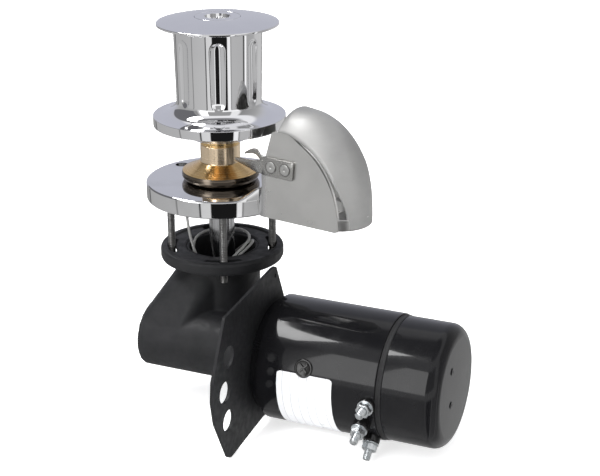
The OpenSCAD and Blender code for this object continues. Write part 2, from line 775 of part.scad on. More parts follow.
module armature_core() {
    color("slategray") on_motor() difference() {
        bar(pole_s0, pole_s1, 38);
        bar(pole_s0 - 1, pole_s1 + 1, 8 + fit);
        for (i = [0 : 17]) rotate([20 * i, 0, 0]) translate([pole_s0 - 1, -1.5, 26])
            cube([pole_s1 - pole_s0 + 2, 3, 14]);
    }
}

module armature_windings() {
    color("orangered") on_motor() {
        for (i = [0 : 17]) rotate([20 * i, 0, 0]) translate([pole_s0 - 6, -1.3, 26.2])
            cube([pole_s1 - pole_s0 + 12, 2.6, 10]);
        sleeve(pole_s0 - 7, pole_s0 - 0.2, 35, 14);
        sleeve(pole_s1 + 0.2, pole_s1 + 12, 35, 14);
    }
}

module commutator() {
    color("chocolate") on_motor() difference() {
        bar(184, 206, 21);
        bar(183, 207, 8 + fit);
        for (i = [0 : 17]) rotate([20 * i, 0, 0]) translate([183, -0.4, 19]) cube([24, 0.8, 4]);
    }
}

module brush_holder() {
    color("tan") on_motor() difference() {
        union() {
            sleeve(208, 211, 53.9, 24);
            for (i = [0 : 3]) rotate([90 * i, 0, 0]) translate([188, -8, 24]) cube([20, 16, 20]);
        }
        for (i = [0 : 3]) rotate([90 * i, 0, 0]) translate([189, -5.6, 20]) cube([13, 11.2, 26]);
    }
}

module brushes() {
    color("black") on_motor() for (i = [0 : 3]) rotate([90 * i, 0, 0]) difference() {
        translate([189.2, -5.5, 20.5]) cube([12.6, 11, 13]);
        bar(180, 210, 21 + fit);
    }
}

module brush_springs() {
    color("gainsboro") on_motor() for (i = [0 : 3]) rotate([90 * i, 0, 0])
        translate([195.5, 0, 33.6]) difference() {
            cylinder(h = 10, r = 4, $fn = 32);
            translate([0, 0, -1]) cylinder(h = 12, r = 2.8, $fn = 32);
        }
}

module motor_bearing_front() {
    color("lightgray") on_motor() translate([yoke_s0 - 3, 0, 0]) rotate([0, 90, 0])
        bearing(9, 8 + run_gap, 20 - fit);
}

module motor_bearing_rear() {
    color("lightgray") on_motor() translate([252, 0, 0]) rotate([0, 90, 0])
        bearing(10, 8 + run_gap, 17 - fit);
}

plug_s = 134;
plug_a = 19.5;
module inspection_plug() {
    color([0.1, 0.1, 0.1]) on_motor() at_angle(plug_s, plug_a) difference() {
        union() {
            translate([0, 0, 58]) cylinder(h = 6, r = 7, $fn = 48);
            difference() {
                translate([0, 0, 60]) cylinder(h = 4.2, r = 9.2, $fn = 48);
                rotate([0, 90, 0]) translate([0, 0, -20]) cylinder(h = 40, r = yoke_r + fit, $fn = fine);
            }
        }
        for (a = [45, 135]) rotate([0, 0, a]) translate([-5.5, -1.1, 62]) cube([11, 2.2, 4]);
    }
}

label_a0 = -72;
label_a1 = 14;
module rating_label() {
    color("white") on_motor() difference() {
        rotate([-label_a1, 0, 0]) rotate([90, 0, 90]) translate([0, 0, 107]) rotate([0, 0, 180])
            rotate_extrude(angle = label_a1 - label_a0, $fn = fine)
                translate([yoke_r + fit, 0]) square([0.4, 57]);
        at_angle(plug_s, plug_a) translate([0, 0, 50]) cylinder(h = 20, r = 9.5, $fn = 48);
    }
}

// Terminals: distance along the motor axis, angle round it, height of the washer above the yoke
terminals = [[200.5, -3, 6.5], [195, -22, 12], [200, -45, 9]];

module terminal_studs() {
    color("gainsboro") on_motor() for (q = terminals) at_angle(q[0], q[1])
        translate([0, 0, 56]) cylinder(h = 22 + q[2], r = 4, $fn = 48);
}

module terminal_insulators() {
    color("black") on_motor() for (q = terminals) at_angle(q[0], q[1]) difference() {
        union() {
            translate([0, 0, 57]) cylinder(h = 8, r = 5.5, $fn = 48);
            difference() {
                translate([0, 0, 60]) cylinder(h = 1 + q[2] - 0.4, r = 8, $fn = 48);
                rotate([0, 90, 0]) translate([0, 0, -20]) cylinder(h = 40, r = yoke_r + fit, $fn = fine);
            }
        }
        translate([0, 0, 50]) cylinder(h = 40, r = 4 + fit, $fn = 48);
    }
}

module terminal_washers() {
    color("lightsteelblue") on_motor() for (q = terminals) at_angle(q[0], q[1])
        translate([0, 0, 60.7 + q[2]]) difference() {
            cylinder(h = 2, r = 8, $fn = 48);
            translate([0, 0, -1]) cylinder(h = 4, r = 4 + fit, $fn = 48);
        }
}

module terminal_nuts() {
    color("gainsboro") on_motor() for (q = terminals) at_angle(q[0], q[1])
        translate([0, 0, 62.8 + q[2]]) difference() {
            cylinder(h = 6.5, r = 7.5, $fn = 6);
            translate([0, 0, -1]) cylinder(h = 10, r = 4 + fit, $fn = 48);
        }
}

// ---- chain-counter sensor ------------------------------------------------------------

sensor_x = -33;
sensor_y = -16;
module sensor_body() {
    color("dimgray") translate([sensor_x, sensor_y, 0.5]) difference() {
        union() {
            cylinder(h = 13.5, r = 4, $fn = 48);
            cylinder(h = 5.9, r = 5.5, $fn = 48);
        }
        translate([0, 0, -1]) cylinder(h = 4, r = 1.6, $fn = 32);
    }
}

cable_r = 1.4;
cable_route = [[-33, -16, 2.5], [-33, -16, -14], [-31, -17, -30], [-27, -18, -46], [-19, -21, -60],
    [-8, -25, -72], [6, -25, -74], [18, -20, -66], [25, -10, -56], [27, 2, -50], [24, 14, -47],
    [15, 24, -46], [2, 29, -46], [-12, 28, -47], [-24, 20, -48], [-30, 8, -49], [-30, -6, -52],
    [-24, -17, -60], [-13, -23, -70], [0, -26, -78], [13, -24, -74], [23, -16, -64], [29, -4, -55],
    [30, 9, -50], [24, 20, -51], [12, 26, -58], [0, 26, -68], [-7, 22.5, -76], [-8, 21, -79.5], [-8, 21, -83.97]];
cable_sides = 8;
function cross_unit(a, b) = let (c = cross(a, b)) c / norm(c);
module sensor_cable() {
    n = len(cable_route) - 1;
    rings = [for (i = [0 : n]) let (p = cable_route[i],
            d = cable_route[min(i + 1, n)] - cable_route[max(i - 1, 0)],
            e = cross_unit(d, abs(d[2]) > 0.9 * norm(d) ? [1, 0, 0] : [0, 0, 1]), f = cross_unit(d, e))
        each [for (k = [0 : cable_sides - 1]) let (a = 360 / cable_sides * k)
            p + cable_r * (e * cos(a) + f * sin(a))]];
    sides = [for (i = [0 : n - 1]) for (k = [0 : cable_sides - 1])
        let (b = i * cable_sides, m = (k + 1) % cable_sides)
        each [[b + k, b + cable_sides + k, b + cable_sides + m], [b + k, b + cable_sides + m, b + m]]];
    color("lightgray") polyhedron(points = rings, faces = concat(sides,
        [[for (k = [0 : cable_sides - 1]) k]],
        [[for (k = [cable_sides - 1 : -1 : 0]) n * cable_sides + k]]));
}

module sensor_plug() {
    color("ivory") translate([-14, 17, -96]) cube([12, 8, 12]);
}

base_casting();
chain_hood();
base_bush();
base_seal();
deck_studs();
chain_stripper();
stripper_screws();
main_shaft();
cone_key();
drum_key();
wheel_key();
lower_clutch_cone();
capstan_drum();
upper_clutch_cone();
clutch_washer();
clutch_nut();
clamp_ring();
gearbox_housing();
wheel_cover();
cover_screws();
shaft_bearing_upper();
shaft_bearing_lower();
shaft_seal();
worm_wheel();
wheel_circlip();
worm_shaft();
worm_bearing_outer();
worm_bearing_inner();
worm_seal();
tunnel_cap();
mounting_plate();
plate_screws();
shaft_coupling();
motor_front_bell();
motor_yoke();
seal_band();
motor_end_cap();
end_cap_screws();
pole_shoes();
field_coils();
armature_shaft();
armature_core();
armature_windings();
commutator();
brush_holder();
brushes();
brush_springs();
motor_bearing_front();
motor_bearing_rear();
inspection_plug();
rating_label();
terminal_studs();
terminal_insulators();
terminal_washers();
terminal_nuts();
sensor_body();
sensor_cable();
sensor_plug();
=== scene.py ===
"""Anchor windlass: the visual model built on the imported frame.

Lengths are in millimetres in the helpers' arguments and become metres in the meshes.
"""
import json
import math

import bpy
from mathutils import Matrix, Vector


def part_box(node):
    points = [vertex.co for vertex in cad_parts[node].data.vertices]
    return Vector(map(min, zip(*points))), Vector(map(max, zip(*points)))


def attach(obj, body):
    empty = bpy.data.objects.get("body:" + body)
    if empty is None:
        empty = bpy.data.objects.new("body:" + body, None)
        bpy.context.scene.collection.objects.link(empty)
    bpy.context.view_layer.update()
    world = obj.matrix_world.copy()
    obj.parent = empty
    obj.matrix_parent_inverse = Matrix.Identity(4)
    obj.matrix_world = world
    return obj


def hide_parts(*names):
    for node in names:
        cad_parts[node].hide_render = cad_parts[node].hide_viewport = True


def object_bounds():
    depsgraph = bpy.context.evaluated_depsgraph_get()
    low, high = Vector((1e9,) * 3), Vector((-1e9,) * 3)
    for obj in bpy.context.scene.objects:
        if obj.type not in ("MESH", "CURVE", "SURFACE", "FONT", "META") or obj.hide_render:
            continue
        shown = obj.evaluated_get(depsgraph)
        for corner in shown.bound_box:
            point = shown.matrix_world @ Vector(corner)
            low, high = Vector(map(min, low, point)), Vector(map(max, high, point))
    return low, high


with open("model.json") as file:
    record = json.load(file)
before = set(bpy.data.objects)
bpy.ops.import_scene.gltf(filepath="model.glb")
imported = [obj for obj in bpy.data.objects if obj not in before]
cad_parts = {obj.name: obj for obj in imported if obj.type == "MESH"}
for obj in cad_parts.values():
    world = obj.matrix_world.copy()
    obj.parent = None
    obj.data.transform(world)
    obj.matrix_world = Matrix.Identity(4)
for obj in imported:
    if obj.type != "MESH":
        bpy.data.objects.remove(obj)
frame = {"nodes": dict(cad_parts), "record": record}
CAD_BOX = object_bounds()
NODES = frame["nodes"]
MM = 0.001

# ---- places taken from the frame ---------------------------------------------------------


def low(node):
    """Lowest corner of a CAD node in millimetres."""
    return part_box(node)[0] / MM


def high(node):
    """Highest corner of a CAD node in millimetres."""
    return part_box(node)[1] / MM


DECK = Matrix.Identity(4)
MOTOR_YAW = math.radians(10.5)
WORM_CENTRE = 40.0
MOTOR_Z = -146.3
MOTOR = Matrix.Rotation(MOTOR_YAW, 4, "Z") @ Matrix.Translation(Vector((0, -WORM_CENTRE, MOTOR_Z)) * MM)

BASE_R = -low("base_casting").y
BASE_TOP = 17.5
TOP_Z = high("capstan_drum").z
DRUM_TOP = TOP_Z - 5.5
STUD_R = 4.0
STUD_PITCH_R = 51.5
STUD_ANGLE = 38.5
STUD_BOTTOM = low("deck_studs").z
YOKE_R = 62.6
YOKE_BORE = 57.6
YOKE_START = 85.0
YOKE_END = 207.0
CAP_START = 212.5
CAP_R = 61.0
CAP_END = 267.3
CABLE_D = 2.8

# ---- camera ------------------------------------------------------------------------------

CAMERA_AT = Vector((0.844, -1.100, 0.4733))
CAMERA_HEADING = math.radians(124.2)
CAMERA_PITCH = math.radians(-20.61)
CAMERA_ROLL = math.radians(-0.08)
CAMERA_LENS = 86.54
FRONT_AZIMUTH = math.atan2(CAMERA_AT.y, CAMERA_AT.x)


def make_camera():
    """Camera that stands where the object's front is best seen."""
    ahead = Vector((math.cos(CAMERA_HEADING) * math.cos(CAMERA_PITCH),
                    math.sin(CAMERA_HEADING) * math.cos(CAMERA_PITCH), math.sin(CAMERA_PITCH)))
    right = ahead.cross(Vector((0, 0, 1))).normalized()
    up = right.cross(ahead)
    turn = Matrix.Rotation(CAMERA_ROLL, 4, "Z")
    data = bpy.data.cameras.new("camera")
    data.lens = CAMERA_LENS
    data.sensor_width = 36
    data.clip_start = 0.01
    camera = bpy.data.objects.new("camera", data)
    camera.matrix_world = Matrix.Translation(CAMERA_AT) @ Matrix(
        (right, up, -ahead)).transposed().to_4x4() @ turn
    bpy.context.scene.collection.objects.link(camera)
    bpy.context.scene.camera = camera


make_camera()

# ---- mesh helpers ------------------------------------------------------------------------


def finish_mesh(name, points, faces, place, sharp=32.0):
    """A smooth-shaded object from points in millimetres; edges bent by more than sharp stay crisp."""
    mesh = bpy.data.meshes.new(name)
    mesh.from_pydata([Vector(p) * MM for p in points], [], faces)
    mesh.validate()
    mesh.polygons.foreach_set("use_smooth", [True] * len(mesh.polygons))
    mesh.set_sharp_from_angle(angle=math.radians(sharp))
    obj = bpy.data.objects.new(name, mesh)
    bpy.context.scene.collection.objects.link(obj)
    obj.matrix_world = place
    return obj


def loft(name, rings, place=DECK, closed=False, caps=True, sharp=32.0):
    """Skins rings of equal point count; closed joins the last ring to the first."""
    count = len(rings[0])
    points = [p for ring in rings for p in ring]
    last = len(rings) if closed else len(rings) - 1
    faces = []
    for i in range(last):
        a, b = i * count, (i + 1) % len(rings) * count
        for j in range(count):
            k = (j + 1) % count
            faces.append((a + j, a + k, b + k, b + j))
    if caps and not closed:
        faces.append(tuple(reversed(range(count))))
        faces.append(tuple((len(rings) - 1) * count + j for j in range(count)))
    return finish_mesh(name, points, faces, place, sharp)


def circle(radius, height, steps, axis="Z", centre=(0, 0)):
    """Ring of points round an axis; radius may be a function of the angle in radians."""
    ring = []
    for j in range(steps):
        a = 2 * math.pi * j / steps
        r = radius(a) if callable(radius) else radius
        u, v = centre[0] + r * math.cos(a), centre[1] + r * math.sin(a)
        ring.append((u, v, height) if axis == "Z" else (height, u, v))
    return ring


def soften(outline, radius, closed=True, steps=4):
    """Rounds the corners of an outline of (r, h) points, by no more than its edges allow."""
    out = []
    count = len(outline)
    for i, p in enumerate(outline):
        if not closed and i in (0, count - 1):
            out.append(tuple(p))
            continue
        here = Vector(p)
        back = Vector(outline[i - 1]) - here
        ahead = Vector(outline[(i + 1) % count]) - here
        turn = math.pi - back.angle(ahead, math.pi)
        if turn < math.radians(12):
            out.append(tuple(p))
            continue
        cut = min(radius * math.tan(turn / 2), back.length * 0.45, ahead.length * 0.45)
        start, end = here + back.normalized() * cut, here + ahead.normalized() * cut
        for k in range(steps + 1):
            t = k / steps
            q = start * (1 - t) ** 2 + here * 2 * t * (1 - t) + end * t * t
            out.append((q.x, q.y))
    return out


def lathe(name, outline, place=DECK, axis="Z", steps=160, radius=0.4, closed=True, sharp=32.0):
    """Turned piece from an outline of (r, h) points; closed for a ring, open from axis to axis."""
    rings = []
    for r, h in soften(outline, radius, closed):
        rings.append(circle(max(r, 0.01), h, steps, axis))
    return loft(name, rings, place, closed, True, sharp)


def arc(cx, cy, radius, start, end, steps):
    """Points of a circular arc, angles in degrees."""
    out = []
    for i in range(steps + 1):
        a = math.radians(start + (end - start) * i / steps)
        out.append((cx + radius * math.cos(a), cy + radius * math.sin(a)))
    return out


def threaded_bar(name, radius, start, end, pitch, place, depth=0.55, tip=1.0, around=28, per_pitch=7):
    """Round bar along local Z with a helical thread and chamfered ends."""
    rings = []
    count = int((end - start) / pitch * per_pitch)
    for i in range(count + 1):
        h = start + (end - start) * i / count
        inset = max(0.0, tip - (h - start), tip - (end - h))

        def thread(a, h=h, inset=inset):
            phase = (h / pitch - a / (2 * math.pi)) % 1.0
            wave = abs(2 * phase - 1)
            return min(radius - depth * min(1.0, 1.25 * wave), radius - inset * 0.8)

        rings.append(circle(thread, h, around))
    return loft(name, rings, place, sharp=180)


def hex_reach(a, flat):
    """Distance from the axis to a hexagon's side in direction a, flat = distance across half."""
    return flat / math.cos((a % (math.pi / 3)) - math.pi / 6)


def hex_nut(name, flat, height, hole, place, steps=72):
    """Hexagon nut with chamfered corners, its underside at local Z 0."""
    rings = [circle(hole, height - 0.5, steps), circle(hole + 0.5, height, steps)]
    levels = [0.0, 0.25, 0.5, 0.8, 1.2]
    sides = [(height - t, t) for t in levels] + [(t, t) for t in reversed(levels)]
    for h, t in sides:
        limit = flat * 0.94 + 1.75 * t

        def side(a, limit=limit):
            return min(hex_reach(a, flat), limit)

        rings.append(circle(side, h, steps))
    rings += [circle(hole + 0.5, 0, steps), circle(hole, 0.5, steps)]
    return loft(name, rings[::-1], place, closed=True, sharp=40)


def outward(place, s, angle):
    """Frame on the motor at distance s along it, local Z pointing out at an angle round it
    (0 sideways, 90 up)."""
    return place @ Matrix.Translation((s * MM, 0, 0)) @ Matrix.Rotation(math.radians(90 - angle), 4, "X")


def dress(obj, body, slot, material, *nodes):
    """Puts a new piece on its body with its material, in place of CAD nodes."""
    obj.data.materials.clear()
    obj.data.materials.append(material)
    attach(obj, body)
    if nodes:
        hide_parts(*nodes)
    return obj


def bevel(obj, width, angle=35.0, segments=3):
    """Rounded edges on a CAD node, as modifiers."""
    cut = obj.modifiers.new("edges", "BEVEL")
    cut.width = width * MM
    cut.segments = segments
    cut.limit_method = "ANGLE"
    cut.angle_limit = math.radians(angle)
    cut.use_clamp_overlap = True
    cut.harden_normals = False
    return obj


# ---- materials ---------------------------------------------------------------------------


class Paint:
    """Small builder for a node material on the Principled shader."""

    def __init__(self, name, color, metallic=0.0, roughness=0.5):
        self.material = bpy.data.materials.new(name)
        self.material.use_nodes = True
        self.tree = self.material.node_tree
        self.shader = self.tree.nodes["Principled BSDF"]
        self.shader.inputs["Base Color"].default_value = (*color, 1)
        self.shader.inputs["Metallic"].default_value = metallic
        self.shader.inputs["Roughness"].default_value = roughness
        self.color = color
        self.where = self.add("ShaderNodeTexCoord").outputs["Object"]
        self.bumped = None

    def add(self, kind, **values):
        node = self.tree.nodes.new(kind)
        for key, value in values.items():
            setattr(node, key, value)
        return node

    def link(self, a, b):
        self.tree.links.new(a, b)

    def stretched(self, scale):
        """Object coordinates stretched per axis, for lines and streaks."""
        node = self.add("ShaderNodeMapping")
        node.inputs["Scale"].default_value = scale
        self.link(self.where, node.inputs["Vector"])
        return node.outputs["Vector"]

    def noise(self, scale, detail=3.0, rough=0.55, stretch=(1, 1, 1)):
        node = self.add("ShaderNodeTexNoise")
        node.inputs["Scale"].default_value = scale
        node.inputs["Detail"].default_value = detail
        node.inputs["Roughness"].default_value = rough
        self.link(self.stretched(stretch), node.inputs["Vector"])
        return node.outputs["Fac"]

    def around(self, scale, axis):
        """Noise that is constant round an axis, as turning marks are: it reads the distance along
        the axis and the distance from it."""
        split = self.add("ShaderNodeSeparateXYZ")
        self.link(self.where, split.inputs[0])
        names = [n for n in "XYZ" if n != axis]
        reach = self.add("ShaderNodeVectorMath", operation="LENGTH")
        flat = self.add("ShaderNodeCombineXYZ")
        self.link(split.outputs[names[0]], flat.inputs[0])
        self.link(split.outputs[names[1]], flat.inputs[1])
        self.link(flat.outputs[0], reach.inputs[0])
        both = self.add("ShaderNodeCombineXYZ")
        self.link(split.outputs[axis], both.inputs[0])
        self.link(reach.outputs["Value"], both.inputs[1])
        node = self.add("ShaderNodeTexNoise")
        node.inputs["Scale"].default_value = scale
        node.inputs["Detail"].default_value = 4
        self.link(both.outputs[0], node.inputs["Vector"])
        return node.outputs["Fac"]

    def range(self, value, low_in, high_in, low_out, high_out):
        node = self.add("ShaderNodeMapRange")
        node.inputs["From Min"].default_value = low_in
        node.inputs["From Max"].default_value = high_in
        node.inputs["To Min"].default_value = low_out
        node.inputs["To Max"].default_value = high_out
        self.link(value, node.inputs["Value"])
        return node.outputs["Result"]

    def roughness(self, value, low_out, high_out):
        self.link(self.range(value, 0.3, 0.7, low_out, high_out), self.shader.inputs["Roughness"])

    def tint(self, value, other, low_in=0.35, high_in=0.7):
        """Mixes the base colour towards another by a texture."""
        mix = self.add("ShaderNodeMix", data_type="RGBA")
        before = self.shader.inputs["Base Color"]
        if before.is_linked:
            self.link(before.links[0].from_socket, mix.inputs["A"])
        else:
            mix.inputs["A"].default_value = before.default_value
        mix.inputs["B"].default_value = (*other, 1)
        self.link(self.range(value, low_in, high_in, 0, 1), mix.inputs["Factor"])
        self.link(mix.outputs["Result"], before)

    def bump(self, value, strength, distance):
        """Adds a bump on top of the ones before it; distance in millimetres."""
        node = self.add("ShaderNodeBump")
        node.inputs["Strength"].default_value = strength
        node.inputs["Distance"].default_value = distance * MM
        self.link(value, node.inputs["Height"])
        if self.bumped:
            self.link(self.bumped, node.inputs["Normal"])
        self.bumped = node.outputs["Normal"]
        self.link(self.bumped, self.shader.inputs["Normal"])

    def coat(self, weight, roughness):
        self.shader.inputs["Coat Weight"].default_value = weight
        self.shader.inputs["Coat Roughness"].default_value = roughness


def chrome():
    """Mirror-polished stainless steel."""
    p = Paint("polished_stainless", (0.86, 0.86, 0.87), 1.0, 0.03)
    p.roughness(p.noise(38, 4), 0.015, 0.05)
    p.tint(p.noise(11, 3), (0.80, 0.80, 0.82))
    p.bump(p.noise(24, 2), 0.03, 0.04)
    p.bump(p.noise(900, 2, 0.6, (1, 1, 0.06)), 0.03, 0.01)
    return p.material


def satin_steel():
    """Brushed stainless steel."""
    p = Paint("brushed_stainless", (0.66, 0.655, 0.64), 1.0, 0.33)
    p.roughness(p.noise(60, 5, 0.6, (1, 1, 4)), 0.27, 0.42)
    p.tint(p.noise(16, 4), (0.55, 0.55, 0.54))
    p.bump(p.noise(1400, 3, 0.6, (1, 1, 0.05)), 0.25, 0.03)
    p.bump(p.noise(45, 3), 0.10, 0.25)
    return p.material


def base_steel():
    """Mirror polish on the deck base that turns satin up the hood."""
    p = Paint("polished_base", (0.80, 0.80, 0.81), 1.0, 0.05)
    split = p.add("ShaderNodeSeparateXYZ")
    p.link(p.where, split.inputs[0])
    satin = p.range(split.outputs["X"], 0.071, 0.078, 0, 1)
    rough = p.add("ShaderNodeMix", data_type="FLOAT")
    p.link(satin, rough.inputs["Factor"])
    p.link(p.range(p.noise(38, 4), 0.3, 0.7, 0.02, 0.055), rough.inputs["A"])
    p.link(p.range(p.noise(60, 5, 0.6, (1, 1, 4)), 0.3, 0.7, 0.26, 0.40), rough.inputs["B"])
    p.link(rough.outputs["Result"], p.shader.inputs["Roughness"])
    p.tint(satin, (0.74, 0.735, 0.72), 0.0, 1.0)
    p.tint(p.noise(16, 4), (0.58, 0.58, 0.57), 0.45, 0.9)
    p.bump(p.noise(22, 2), 0.04, 0.06)
    grain = p.add("ShaderNodeMath", operation="MULTIPLY")
    p.link(satin, grain.inputs[0])
    p.link(p.noise(1300, 3, 0.6, (1, 1, 0.06)), grain.inputs[1])
    p.bump(grain.outputs[0], 0.12, 0.02)
    return p.material


def hood_steel():
    """Satin finish of the cast hood."""
    p = Paint("hood_steel", (0.41, 0.408, 0.402), 0.6, 0.48)
    p.shader.inputs["Specular IOR Level"].default_value = 0.25
    p.roughness(p.noise(60, 5, 0.6, (1, 1, 4)), 0.44, 0.55)
    p.tint(p.noise(22, 5), (0.33, 0.33, 0.327), 0.4, 0.85)
    p.bump(p.noise(1300, 3, 0.6, (1, 1, 0.06)), 0.12, 0.02)
    return p.material


def turned_steel(name, color, axis, roughness=0.22):
    """Turned metal with fine rings round an axis."""
    p = Paint(name, color, 1.0, roughness)
    p.roughness(p.around(2600, axis), roughness - 0.04, roughness + 0.04)
    p.tint(p.noise(30, 3), tuple(c * 0.88 for c in color))
    p.bump(p.around(4200, axis), 0.12, 0.012)
    return p.material


def stud_steel():
    """Dull stainless thread."""
    p = Paint("stud_steel", (0.30, 0.30, 0.295), 1.0, 0.36)
    p.roughness(p.noise(300, 3), 0.28, 0.48)
    p.tint(p.noise(120, 4), (0.19, 0.185, 0.18))
    p.bump(p.noise(900, 2), 0.2, 0.02)
    return p.material


def bronze():
    """Turned bronze: the sleeve painted paler, partly for its machined finish and partly as a painted
    reflection; painted shade below the rim.
    """
    p = Paint("bronze", (0.80, 0.56, 0.27), 1.0, 0.2)
    p.roughness(p.around(1800, "Z"), 0.14, 0.30)
    p.tint(p.noise(26, 2), (0.74, 0.50, 0.23))
    p.tint(p.around(900, "Z"), (0.88, 0.68, 0.38), 0.5, 0.8)
    split = p.add("ShaderNodeSeparateXYZ")
    p.link(p.where, split.inputs[0])
    # paler sleeve, z 37 to 55 mm: partly its machined finish, partly a painted reflection of the studio's
    # light
    sleeve = p.add("ShaderNodeMath", operation="COMPARE")
    sleeve.inputs[1].default_value = 45.9 * MM
    sleeve.inputs[2].default_value = 8.8 * MM
    p.link(split.outputs["Z"], sleeve.inputs[0])
    p.tint(sleeve.outputs[0], (0.92, 0.74, 0.53), 0.0, 1.0)
    # painted shade: below z 27.7 mm the cone's lower rim and underside are darkened to stand for the shadow
    # under the rim
    band = p.add("ShaderNodeMath", operation="LESS_THAN")
    band.inputs[1].default_value = 27.7 * MM
    p.link(split.outputs["Z"], band.inputs[0])
    p.tint(band.outputs[0], (0.15, 0.125, 0.10), 0.0, 1.0)
    p.bump(p.around(3600, "Z"), 0.35, 0.02)
    return p.material


def black_casting():
    """Painted casting with a fine grain."""
    p = Paint("black_casting", (0.012, 0.0125, 0.0135), 0.0, 0.55)
    p.roughness(p.noise(160, 4), 0.42, 0.62)
    p.tint(p.noise(28, 4), (0.019, 0.019, 0.021))
    p.bump(p.noise(1100, 3), 0.35, 0.06)
    p.bump(p.noise(90, 3), 0.2, 0.25)
    p.shader.inputs["Specular IOR Level"].default_value = 0.25
    return p.material


def gloss_black():
    """Black paint with a thin clear coat."""
    p = Paint("black_paint", (0.006, 0.006, 0.007), 0.0, 0.16)
    p.roughness(p.noise(70, 4), 0.10, 0.22)
    p.coat(0.38, 0.03)
    p.shader.inputs["Specular IOR Level"].default_value = 0.1
    p.tint(p.noise(40, 4), (0.009, 0.009, 0.010))
    p.bump(p.noise(260, 2), 0.10, 0.03)
    p.bump(p.noise(25, 2), 0.05, 0.15)
    return p.material


def moulded_black():
    """Shiny moulded plastic."""
    p = Paint("black_plastic", (0.006, 0.006, 0.006), 0.0, 0.2)
    p.roughness(p.noise(200, 3), 0.12, 0.22)
    p.bump(p.noise(1500, 2), 0.15, 0.02)
    return p.material


def rubber():
    """Dull black rubber."""
    p = Paint("seal_rubber", (0.015, 0.015, 0.016), 0.0, 0.6)
    p.roughness(p.noise(300, 3), 0.5, 0.75)
    p.bump(p.noise(1200, 3), 0.3, 0.03)
    return p.material


def zinc():
    """Zinc-plated steel."""
    p = Paint("zinc", (0.78, 0.80, 0.81), 1.0, 0.3)
    p.roughness(p.noise(500, 4), 0.2, 0.42)
    p.tint(p.noise(160, 4), (0.60, 0.64, 0.66))
    p.tint(p.noise(60, 3), (0.80, 0.78, 0.70), 0.55, 0.85)
    p.bump(p.noise(1800, 3), 0.2, 0.02)
    return p.material


def label_film():
    """White film with pale ruled rows and a frame, and no lettering."""
    p = Paint("label_white", (0.80, 0.81, 0.83), 0.0, 0.32)
    p.roughness(p.noise(90, 3), 0.26, 0.4)
    split = p.add("ShaderNodeSeparateXYZ")
    p.link(p.where, split.inputs[0])
    total = None
    for place in (113.0, 121.5, 130.0, 138.5, 147.0, 157.5):
        line = p.add("ShaderNodeMath", operation="COMPARE")
        line.inputs[1].default_value = place * MM
        line.inputs[2].default_value = 0.00022
        p.link(split.outputs["X"], line.inputs[0])
        if total is None:
            total = line.outputs[0]
            continue
        both = p.add("ShaderNodeMath", operation="MAXIMUM")
        p.link(total, both.inputs[0])
        p.link(line.outputs[0], both.inputs[1])
        total = both.outputs[0]
    p.tint(total, (0.42, 0.43, 0.45), 0.0, 1.0)
    p.coat(0.3, 0.15)
    p.bump(p.noise(400, 2), 0.05, 0.02)
    return p.material


def sheath():
    """Grey cable sheath."""
    p = Paint("cable_grey", (0.52, 0.52, 0.51), 0.0, 0.42)
    p.roughness(p.noise(400, 3), 0.34, 0.5)
    p.tint(p.noise(120, 3), (0.44, 0.44, 0.43))
    p.bump(p.noise(900, 2), 0.15, 0.02)
    return p.material


def nylon():
    """Natural nylon."""
    p = Paint("nylon", (0.72, 0.69, 0.60), 0.0, 0.45)
    p.shader.inputs["Subsurface Weight"].default_value = 0.1
    p.shader.inputs["Subsurface Radius"].default_value = (0.002, 0.002, 0.002)
    p.roughness(p.noise(200, 3), 0.38, 0.55)
    p.bump(p.noise(800, 2), 0.15, 0.02)
    return p.material


def laminated_iron():
    """Stack of thin iron plates."""
    p = Paint("iron_core", (0.23, 0.24, 0.26), 1.0, 0.45)
    p.roughness(p.noise(200, 3), 0.36, 0.55)
    p.bump(p.noise(2400, 2, 0.5, (1, 0.05, 0.05)), 0.5, 0.05)
    return p.material


def wound_copper():
    """Lacquered copper wire."""
    p = Paint("copper", (0.62, 0.27, 0.12), 1.0, 0.3)
    p.roughness(p.noise(260, 3), 0.22, 0.4)
    p.tint(p.noise(90, 4), (0.42, 0.16, 0.06))
    p.bump(p.noise(1300, 2, 0.5, (0.08, 1, 1)), 0.6, 0.2)
    return p.material


def pressed_carbon():
    """Pressed carbon of the brushes."""
    p = Paint("carbon", (0.03, 0.03, 0.032), 0.2, 0.5)
    p.roughness(p.noise(500, 3), 0.4, 0.6)
    p.bump(p.noise(1800, 3), 0.3, 0.03)
    return p.material


MATERIALS = {
    "polished_stainless": chrome(),
    "brushed_stainless": satin_steel(),
    "stud_steel": stud_steel(),
    "shaft_steel": turned_steel("shaft_steel", (0.56, 0.56, 0.57), "Z", 0.16),
    "bronze": bronze(),
    "black_casting": black_casting(),
    "black_paint": gloss_black(),
    "black_plastic": moulded_black(),
    "seal_rubber": rubber(),
    "zinc": zinc(),
    "label_white": label_film(),
    "cable_grey": sheath(),
    "nylon": nylon(),
    "iron_core": laminated_iron(),
    "copper": wound_copper(),
    "carbon": pressed_carbon(),
}
BASE_STEEL = base_steel()
HOOD_STEEL = hood_steel()
STRIPPER_STEEL = turned_steel("stripper_steel", (0.50, 0.495, 0.48), "Y", 0.26)


def paint_cad_nodes():
    """Every CAD node takes its slot's material."""
    slots = {s["node"]: s["material_slot"] for s in frame["record"]["subparts"]}
    for name, obj in NODES.items():
        obj.data.materials.clear()
        obj.data.materials.append(MATERIALS[slots[name]])


paint_cad_nodes()

# ---- cords -------------------------------------------------------------------------------

